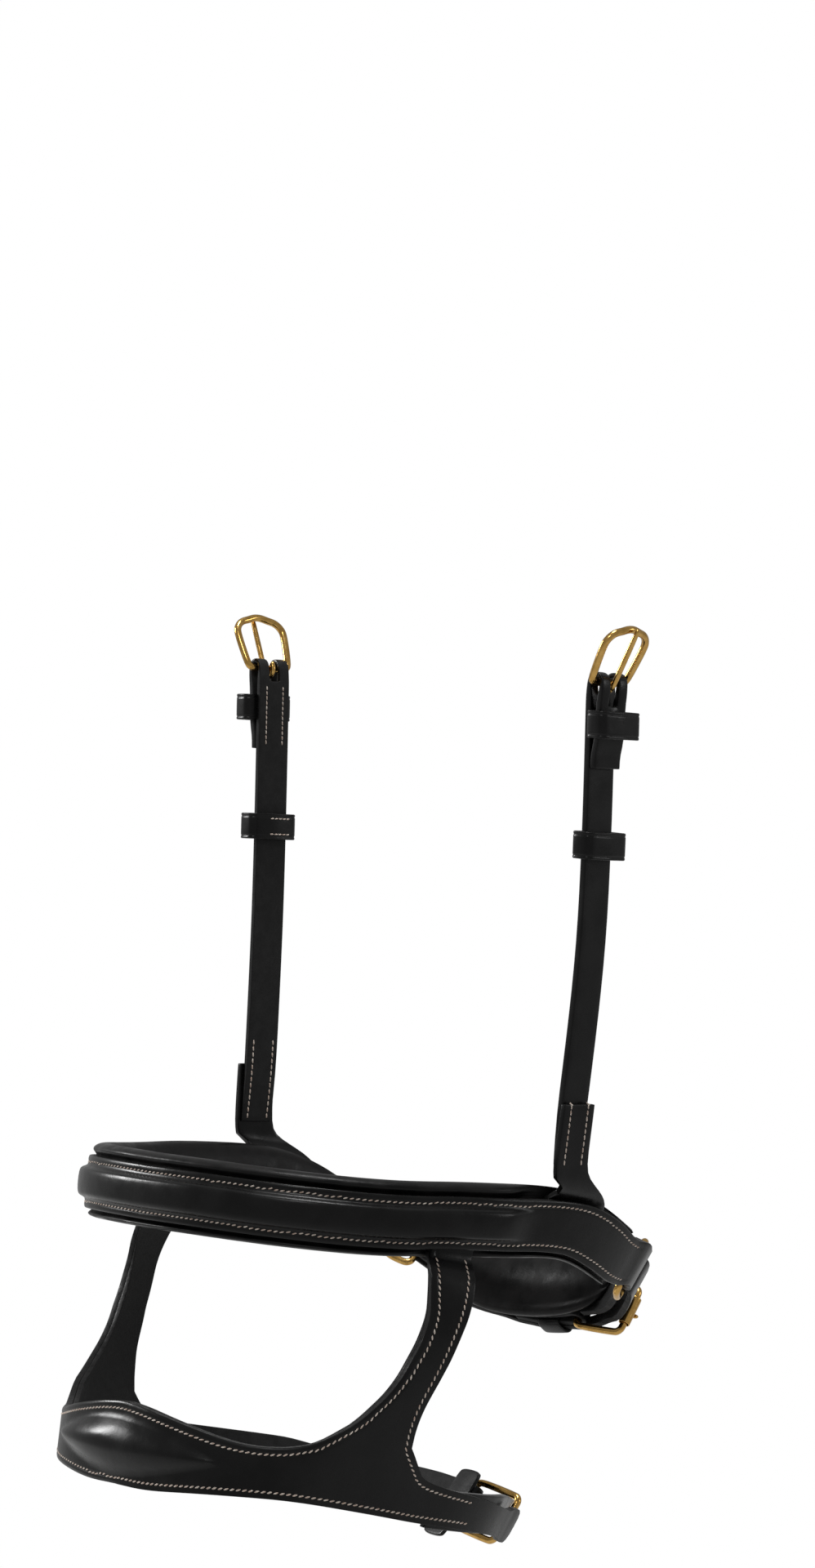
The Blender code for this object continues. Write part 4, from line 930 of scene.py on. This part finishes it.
def flat_sheet(patches, mirrored=True):
    """A flat pattern joined from patches of rows, with its mirror image."""
    whole = bmesh.new()
    for rows in patches:
        add_part(whole, grid(
            len(rows), len(rows[0]), lambda spot, rows=rows: Vector((*rows[spot[0]][spot[1]], 0.0))
        ))
    bmesh.ops.remove_doubles(whole, verts=whole.verts[:], dist=SHEET_WELD)
    if mirrored:
        everything = whole.verts[:] + whole.edges[:] + whole.faces[:]
        bmesh.ops.mirror(whole, geom=everything, axis="X", merge_dist=SHEET_WELD)
    return whole


def drop_band():
    """The leather of the band, its side straps and its two ends, in one piece."""
    sheet = flat_sheet(drop_patterns(ALIKE_SHARE, 1.0))
    add_part(sheet, flat_sheet(drop_ends(), mirrored=False))
    bmesh.ops.remove_doubles(sheet, verts=sheet.verts[:], dist=SHEET_WELD)

    def outer(around, height):
        flat = np.array((abs(around), height)) * METRIC
        runs = OUTLINES[1 if around > 0 else -1]
        return on_drop(around, height, LEATHER / 2 + margin_depth(distance_to_runs(flat, runs)))

    def inner(around, height):
        return on_drop(around, height, LEATHER / 2 - MM * between(NEAR_THICKNESS, around))

    piece = finished(
        "drop_band_leather", thick(sheet, outer, inner), [GRAIN, FLESH, EDGE], "noseband",
        ["drop_band_face", "drop_band_leaf_pad"],
    )
    return rounded(piece)


LINING_TOP_SHARE = 0.88
LINING_THIN_SHARES = (0.55, 0.84)
LINING_SKIVED = 0.8


def drop_lining():
    """The thin lining inside the band and side straps, skived where the straps tuck in."""
    sheet = flat_sheet(drop_patterns(DROP_LINING_END_SHARE, LINING_TOP_SHARE))

    def outer(around, height, depth=0.0):
        return on_drop(
            around, height, -leaf_form(around, height) - LEATHER / 2 - GAP / 2 - depth
        )

    def inner(around, height):
        thinned = LINING_SKIVED * ease(*LINING_THIN_SHARES, height)
        return outer(around, height, DROP_LINING * (1 - thinned))

    piece = finished(
        "drop_band_lining_leather", thick(sheet, outer, inner), [EDGE, FLESH, EDGE], "noseband",
        ["drop_band_lining"],
    )
    return rounded(piece, THIN_ROUND)


# Keepers and runners

# Rows from a keeper's edge inwards, in millimetres: place, height of the surface, with its crease
KEEPER_ROWS = (
    (0.0, -0.10), (0.35, 0.0), (0.8, 0.0), (1.15, -0.26), (1.5, 0.0), (2.0, 0.02),
)
KEEPER_MIDDLE_RISE = 0.03 * MM
KEEPER_COLUMN_STEP = 1.6 * MM
KEEPER_PLUMP = 0.45 * MM


def keeper_piece(node, place, centre, width, half_across, low_out, high_out):
    """A loop of thin leather with a crease ironed in along each edge."""
    rows = [(-width / 2 + row * MM, depth * MM) for row, depth in KEEPER_ROWS]
    rows += [(0.0, KEEPER_MIDDLE_RISE)] + [(-along, depth) for along, depth in reversed(rows)]
    outline = rounded_box(-half_across, half_across, low_out, high_out, KEEPER_CORNER, 6)
    middle = Vector((0.0, (low_out + high_out) / 2))
    finer = finer_path(outline + outline[:1], KEEPER_COLUMN_STEP)[:-1]

    def layer(offset):
        def at(row, column):
            along, depth = rows[round(row)]
            across, out = finer[round(column) % len(finer)]
            away = (Vector((across, out)) - middle).normalized()
            near_corner = min(
                abs(across) / half_across, 2 * abs(out - middle.y) / (high_out - low_out), 1.0
            )
            plump = KEEPER_PLUMP * (1 - near_corner ** 3)
            away *= (depth + plump if offset > 0 else 0.0) + offset
            return place(centre + along, across + away.x, out + away.y)
        return at

    bm = grid(len(rows), len(finer) + 1)
    thick(bm, layer(THIN_LEATHER / 2), layer(-THIN_LEATHER / 2))
    bmesh.ops.remove_doubles(bm, verts=bm.verts[:], dist=WELD)
    doubled = [edge for edge in bm.edges if len(edge.link_faces) > 2]
    inside = {face for edge in doubled for face in edge.link_faces if face.material_index == 2}
    bmesh.ops.delete(bm, geom=list(inside), context="FACES")
    bmesh.ops.recalc_face_normals(bm, faces=bm.faces[:])
    body = frame["nodes"][node]["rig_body"]
    piece = finished(node + "_loop", bm, [GRAIN, FLESH, EDGE], body, [node])
    return rounded(piece, THIN_ROUND)


def keepers():
    """The fixed keepers and the runners of both cheek straps. Gives back the runners."""
    loop_half = BILLET_WIDTH / 2 + GAP + THIN_LEATHER / 2
    keeper_top = TURNED_SEAT_OUT + LEATHER / 2 + BILLET_ROOM + THIN_LEATHER / 2
    runner_low = BODY_OUT - LEATHER / 2 - 2 * GAP - THIN_LEATHER / 2
    runner_high = BODY_OUT + LEATHER / 2 + BILLET_ROOM + THIN_LEATHER / 2
    runners = {}
    for side, name, drop in ((1, "near", RUNNER_DROP), (-1, "far", FAR_RUNNER_DROP)):
        place = cheek_place(side)
        keeper_piece(
            name + "_cheek_fixed_keeper", place, -FIXED_KEEPER_DROP, KEEPER_WIDTH, loop_half,
            KEEPER_SEAT_OUT, keeper_top,
        )
        runners[name] = keeper_piece(
            name + "_cheek_runner", place, -drop, KEEPER_WIDTH, loop_half, runner_low, runner_high
        )
    return runners


# Stitching

STITCH = 2.2 * MM
STITCH_LENGTH = 1.85 * MM
STITCH_WIDTH = 0.64 * MM
STITCH_HEIGHT = 0.55 * MM
STITCH_SLANT = 0.38
SMALL_SLANT = 0.1
FULL_SIZES, SMALL_SIZES = (1.0, 1.0), (0.85, 0.8)
STITCH_RISE = 0.04 * MM
AROUND_FACES, RING_FACES = 6, 5
# How far above the leather the rows of the two bands are laid out, before they are sunk in
UPPER_ROWS_ABOVE, DROP_ROWS_ABOVE = 0.1 * MM, 0.4 * MM
UPPER_STITCH_END_SHARE = 0.692
ROW_POINTS, SHORT_ROW_POINTS, RUNNER_ROW_POINTS = 400, 30, 12


def surface_of(piece):
    return BVHTree.FromObject(piece, bpy.context.evaluated_depsgraph_get())


def spaced(points, pitch):
    """Points at a pitch along a line of points."""
    points = [Vector(point) for point in points]
    lengths = [0.0]
    for first, last in zip(points, points[1:]):
        lengths.append(lengths[-1] + (last - first).length)
    count = max(round(lengths[-1] / pitch), 1)
    axes = [[point[axis] for point in points] for axis in range(3)]
    marks = [lengths[-1] * (index + 0.5) / count for index in range(count)]
    return [Vector([float(np.interp(mark, lengths, axis)) for axis in axes]) for mark in marks]


def sew(name, surface, rows, body, slant=STITCH_SLANT, sizes=FULL_SIZES):
    """Rows of stitches, each row a line of points, sunk a little in the surface under them."""
    whole = bmesh.new()
    length, width = STITCH_LENGTH * sizes[0] / 2, STITCH_WIDTH * sizes[1] / 2
    for row in rows:
        bm = bmesh.new()
        places = spaced(row, STITCH * sizes[0])
        for index, place in enumerate(places):
            under, normal = surface.find_nearest(place)[:2]
            point = place + normal * (under - place).dot(normal)
            before, after = places[max(index - 1, 0)], places[min(index + 1, len(places) - 1)]
            ahead = after - before
            ahead = (ahead - normal * ahead.dot(normal)).normalized()
            aside = normal.cross(ahead)
            way = (ahead + aside * slant).normalized()
            square = normal.cross(way)
            axes = Matrix((way * length, square * width, normal * STITCH_HEIGHT / 2)).transposed()
            at = Matrix.Translation(point + normal * STITCH_RISE) @ axes.to_4x4()
            bmesh.ops.create_uvsphere(
                bm, u_segments=AROUND_FACES, v_segments=RING_FACES, radius=1.0,
                matrix=at @ Matrix.Rotation(math.pi / 2, 4, "Y"),
            )
        add_part(whole, bm)
    return finished(name, whole, [THREAD], body)


def upper_rows():
    end = UPPER_STITCH_END_SHARE * UPPER_GIRTH
    return [
        [on_band(along, side * (band_half(along) - MARGIN), UPPER_ROWS_ABOVE)
         for along in np.linspace(-end, end, ROW_POINTS)]
        for side in (-1, 1)
    ]


def inset_run(run, distance):
    """A flat run moved inwards, towards the leather, by a distance."""
    step = np.gradient(run, axis=0)
    step /= np.hypot(*step.T)[:, None]
    return run + np.stack([-step[:, 1], step[:, 0]], axis=1) * distance


# Where the rows of the lower and of the upper edge end, and the top of those on the side straps
LAST_STITCHES = (0.594, 0.582, 0.582)
STITCH_TOP_SHARE = 0.93
LEAST_MARGIN = MARGIN * 0.93


def drop_stitches():
    """Rows along the lower edge, round the window and up both edges of the side straps."""
    rows = []
    for index, run in enumerate(OUTLINES[-1]):
        inset = inset_run(run, MARGIN) / METRIC
        kept = [
            (around, height) for around, height in inset
            if around < LAST_STITCHES[index] and height < STITCH_TOP_SHARE
            and (index == 0 or around >= 0)
            and distance_to_runs(np.array((around, height)) * METRIC, OUTLINES[-1]) > LEAST_MARGIN
        ]
        if index == 2:
            kept.reverse()
        near, far = (
            [on_drop(side * around, height, LEATHER / 2 + DROP_ROWS_ABOVE)
             for around, height in kept]
            for side in (1, -1)
        )
        rows += [near, far] if index == 1 else [far[::-1] + near]
    return rows


# Places of the short rows on straps and runners: first and last along, and half their distance
TAB_ROWS = (-0.1385, -0.1690, 4.3 * MM)
INNER_TAB_ROWS = (-0.1385, -0.1680, 4.3 * MM)
CHAPE_ROWS = (-0.0065, -0.0285, 3.6 * MM)
RUNNER_ROW = (-6.5 * MM, 2.5 * MM)
RUNNER_ROW_INSET = 1.9 * MM


def runner_rows(side, drop):
    """Two short rows on the head side of a runner, where its ends overlap."""
    place = cheek_place(side)
    out = BODY_OUT - LEATHER / 2 - 2 * GAP - THIN_LEATHER
    return [
        [place(-drop + edge * (KEEPER_WIDTH / 2 - RUNNER_ROW_INSET), across, out)
         for across in np.linspace(*RUNNER_ROW, RUNNER_ROW_POINTS)]
        for edge in (-1, 1)
    ]


def cheek_rows(side, out, first, last, half):
    """Two rows along a cheek strap, at one level."""
    place = cheek_place(side)
    return [
        [place(along, across, out) for along in np.linspace(first, last, SHORT_ROW_POINTS)]
        for across in (-half, half)
    ]


# Putting it together

# How squarely a face has to look inwards to be a flesh side
FLESH_TURN = 0.35
CHEEK_FLESH_TURN = 0.6
HEAD_MIDDLE_Y = -0.02


def head_side(face):
    """Flesh side where a face looks towards the middle of the head."""
    centre, normal = face.calc_center_median(), face.normal
    inward = Vector((-centre.x, HEAD_MIDDLE_Y - centre.y, 0.0)).normalized()
    return 1 if normal.dot(inward) > FLESH_TURN else 0


def cheek_side(face):
    """Flesh side where a face of a cheek strap looks at the other strap."""
    centre, normal = face.calc_center_median(), face.normal
    return 1 if normal.x * math.copysign(1.0, centre.x) < -CHEEK_FLESH_TURN else 0


# Upper end of a tab, and what the skiving leaves of a strap's and of a tab's thickness
TAB_END = -0.1370
STRAP_LEFT, TAB_LEFT = 0.3, 0.55
# How far the edges of keepers, tabs and the roller are rounded
KEEPER_ROUND, TAB_ROUND, ROLLER_ROUND = 0.55 * MM, 0.35 * MM, 0.25 * MM
ROLLER_SHARP = 60
CHEEK_FACE_OUT = BODY_OUT + LEATHER / 2
CHEEK_BACK_OUT = BODY_OUT - LEATHER / 2


def dress():
    """Every visible piece, each on the body of the node that it stands for."""
    band = upper_band()
    drop = drop_band()
    lining = copied("upper_band_lining", [LINING], round_over=0.0)
    drop_lining()
    pad = copied("chin_pad", [LINING], round_over=0.0)
    runners = keepers()
    for node in ("chin_strap", "chin_billet", "lower_chin_strap", "lower_chin_billet"):
        copied(node, [GRAIN, FLESH], 1, finish_of=head_side)
    for node in ("chin_fixed_keeper", "lower_chin_fixed_keeper", "lower_chin_runner",
                 "lower_chin_guard"):
        copied(node, [GRAIN], 2, KEEPER_ROUND)
    straps, tabs = {}, {}
    for side, name in ((1, "near"), (-1, "far")):
        straps[name] = copied(
            name + "_cheek_strap", [GRAIN, FLESH], 1, finish_of=cheek_side,
            shape=skived(side, -CHEEK_END, CHEEK_FACE_OUT, STRAP_LEFT),
        )
        tabs[name] = copied(
            name + "_cheek_tab", [GRAIN], 1, TAB_ROUND,
            shape=skived(side, TAB_END, CHEEK_FACE_OUT, TAB_LEFT),
        )
        for part in ("_ring", "_cheek_buckle_frame", "_cheek_buckle_tongue"):
            copied(name + part, [BRASS], round_over=0.0)
    for name in ("chin", "lower_chin"):
        for part in ("_buckle_frame", "_buckle_tongue"):
            copied(name + part, [BRASS], round_over=0.0)
    copied("chin_buckle_roller", [BRASS], 2, ROLLER_ROUND, ROLLER_SHARP)
    bpy.context.view_layer.update()
    sew("upper_band_stitches", surface_of(band), upper_rows(), "noseband", -STITCH_SLANT)
    sew("drop_band_stitches", surface_of(drop), drop_stitches(), "noseband")
    for side, name, drop_to_runner in ((1, "near", RUNNER_DROP), (-1, "far", FAR_RUNNER_DROP)):
        strap, tab = surface_of(straps[name]), surface_of(tabs[name])
        for kind, surface, out, places, sizes in (
            ("_tab_stitches", tab, CHEEK_FACE_OUT + GAP + TAB_LEATHER, TAB_ROWS, FULL_SIZES),
            ("_chape_stitches", strap, CHEEK_BACK_OUT, CHAPE_ROWS, SMALL_SIZES),
            ("_inner_tab_stitches", strap, CHEEK_BACK_OUT, INNER_TAB_ROWS, FULL_SIZES),
        ):
            rows = cheek_rows(side, out, *places)
            sew(name + kind, surface, rows, "noseband", SMALL_SLANT, sizes)
        sew(
            name + "_runner_stitches", surface_of(runners[name]),
            runner_rows(side, drop_to_runner), frame["nodes"][name + "_cheek_runner"]["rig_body"],
            SMALL_SLANT, SMALL_SIZES,
        )


# Floor: matt pale board, below the part, seen as white further out, where the lamps fall off
FLOOR_HALF = 12.0
FLOOR_DROP = 0.35
FLOOR_COLOUR = "#F5F5F4"
WHITE = (1.0, 1.0, 1.0, 1.0)


def stage_mesh(name, size, height, colour):
    bm = bmesh.new()
    bmesh.ops.create_grid(bm, x_segments=1, y_segments=1, size=size)
    bmesh.ops.translate(bm, verts=bm.verts[:], vec=(0.0, 0.0, height))
    floor = in_scene(name, mesh_from(name, bm))
    made, tree, shader = new_material(name, Roughness=0.9)
    shader.inputs["Base Color"].default_value = linear(colour)
    whiten(tree, shader)
    floor.data.materials.append(made)


# Reach of the white round the part, its share under the part, and how much of it gloss shows
FLOOR_NEAR, FLOOR_FAR = 0.5, 1.3
WHITE_UNDER = 0.35
SEEN_IN_GLOSS = 0.35


def seen_directly(tree):
    """1 for rays from the camera, a share for glossy and transmitted rays, 0 for the others."""
    path = add_node(tree, "ShaderNodeLightPath")
    total = path.outputs["Is Camera Ray"]
    for kind in ("Is Glossy Ray", "Is Transmission Ray"):
        total = add_node(
            tree, "ShaderNodeMath", {"operation": "MULTIPLY_ADD", "use_clamp": True},
            i0=path.outputs[kind], i1=SEEN_IN_GLOSS, i2=total,
        ).outputs[0]
    return total


def whiten(tree, shader):
    """Shows the floor as white away from the object, where the lamps fall off."""
    where = add_node(tree, "ShaderNodeTexCoord").outputs["Object"]
    reach = add_node(tree, "ShaderNodeVectorMath", {"operation": "LENGTH"}, i0=where)
    far = add_node(
        tree, "ShaderNodeMapRange", {"interpolation_type": "SMOOTHSTEP"},
        Value=reach.outputs["Value"], From_Min=FLOOR_NEAR, From_Max=FLOOR_FAR, To_Min=WHITE_UNDER,
    )
    share = add_node(
        tree, "ShaderNodeMath", {"operation": "MULTIPLY"}, i0=far.outputs["Result"],
        i1=seen_directly(tree),
    )
    white = add_node(tree, "ShaderNodeEmission", Color=WHITE, Strength=1.0)
    mixed = add_node(
        tree, "ShaderNodeMixShader", i0=share.outputs[0], i1=shader.outputs["BSDF"],
        i2=white.outputs[0],
    )
    tree.links.new(mixed.outputs[0], tree.nodes["Material Output"].inputs["Surface"])


def area_light(name, place, size, power):
    """A softbox that looks at the part."""
    lamp = bpy.data.lights.new(name, "AREA")
    lamp.shape = "RECTANGLE"
    lamp.size, lamp.size_y = size
    lamp.energy = power
    holder = in_scene(name, lamp)
    holder.location = place
    towards = Vector(LIGHT_TARGET) - Vector(place)
    holder.rotation_euler = towards.to_track_quat("-Z", "Y").to_euler()


LIGHT_TARGET = (0.0, -0.01, -0.20)
# Light of the white surroundings on the part; the camera sees them as white
WORLD_LEVEL = 0.13
# Name, place, size and watts of each softbox
SOFTBOXES = (
    ("nose softbox", (-1.50, -0.80, 0.50), (0.24, 0.5), 17.0),
    ("camera softbox", (1.0, -1.3, 1.45), (0.4, 0.4), 8.0),
    ("top softbox", (0.05, 0.0, 1.3), (0.45, 0.45), 13.0),
    ("rear softbox", (1.25, 1.2, 0.30), (0.25, 0.5), 2.5),
)


def light_studio():
    world = bpy.data.worlds.new("studio")
    bpy.context.scene.world = world
    world.use_nodes = True
    tree = world.node_tree
    background = tree.nodes["Background"]
    shown = add_node(
        tree, "ShaderNodeMath", {"operation": "MULTIPLY_ADD"}, i0=seen_directly(tree),
        i1=1 - WORLD_LEVEL, i2=WORLD_LEVEL,
    )
    background.inputs["Color"].default_value = WHITE
    tree.links.new(shown.outputs[0], background.inputs["Strength"])
    for name, place, size, watts in SOFTBOXES:
        area_light(name, place, size, watts)


def set_camera():
    turn, drop = math.radians(CAMERA_AZIMUTH), math.radians(CAMERA_DROP)
    level = Vector((-math.sin(turn), math.cos(turn), 0.0))
    forward = level * math.cos(drop) - Vector((0.0, 0.0, math.sin(drop)))
    camera = bpy.data.cameras.new("camera")
    camera.lens = LENS
    camera.sensor_width = 36.0
    camera.clip_end = 50.0
    holder = in_scene("camera", camera)
    holder.location = Vector(CAMERA_TARGET) - forward * CAMERA_DISTANCE
    holder.rotation_euler = forward.to_track_quat("-Z", "Y").to_euler()
    bpy.context.scene.camera = holder
    bpy.context.scene.view_settings.view_transform = "Standard"


dress()
stage_mesh("pale floor", FLOOR_HALF, cad_box[0][2] - FLOOR_DROP, FLOOR_COLOUR)
light_studio()
set_camera()
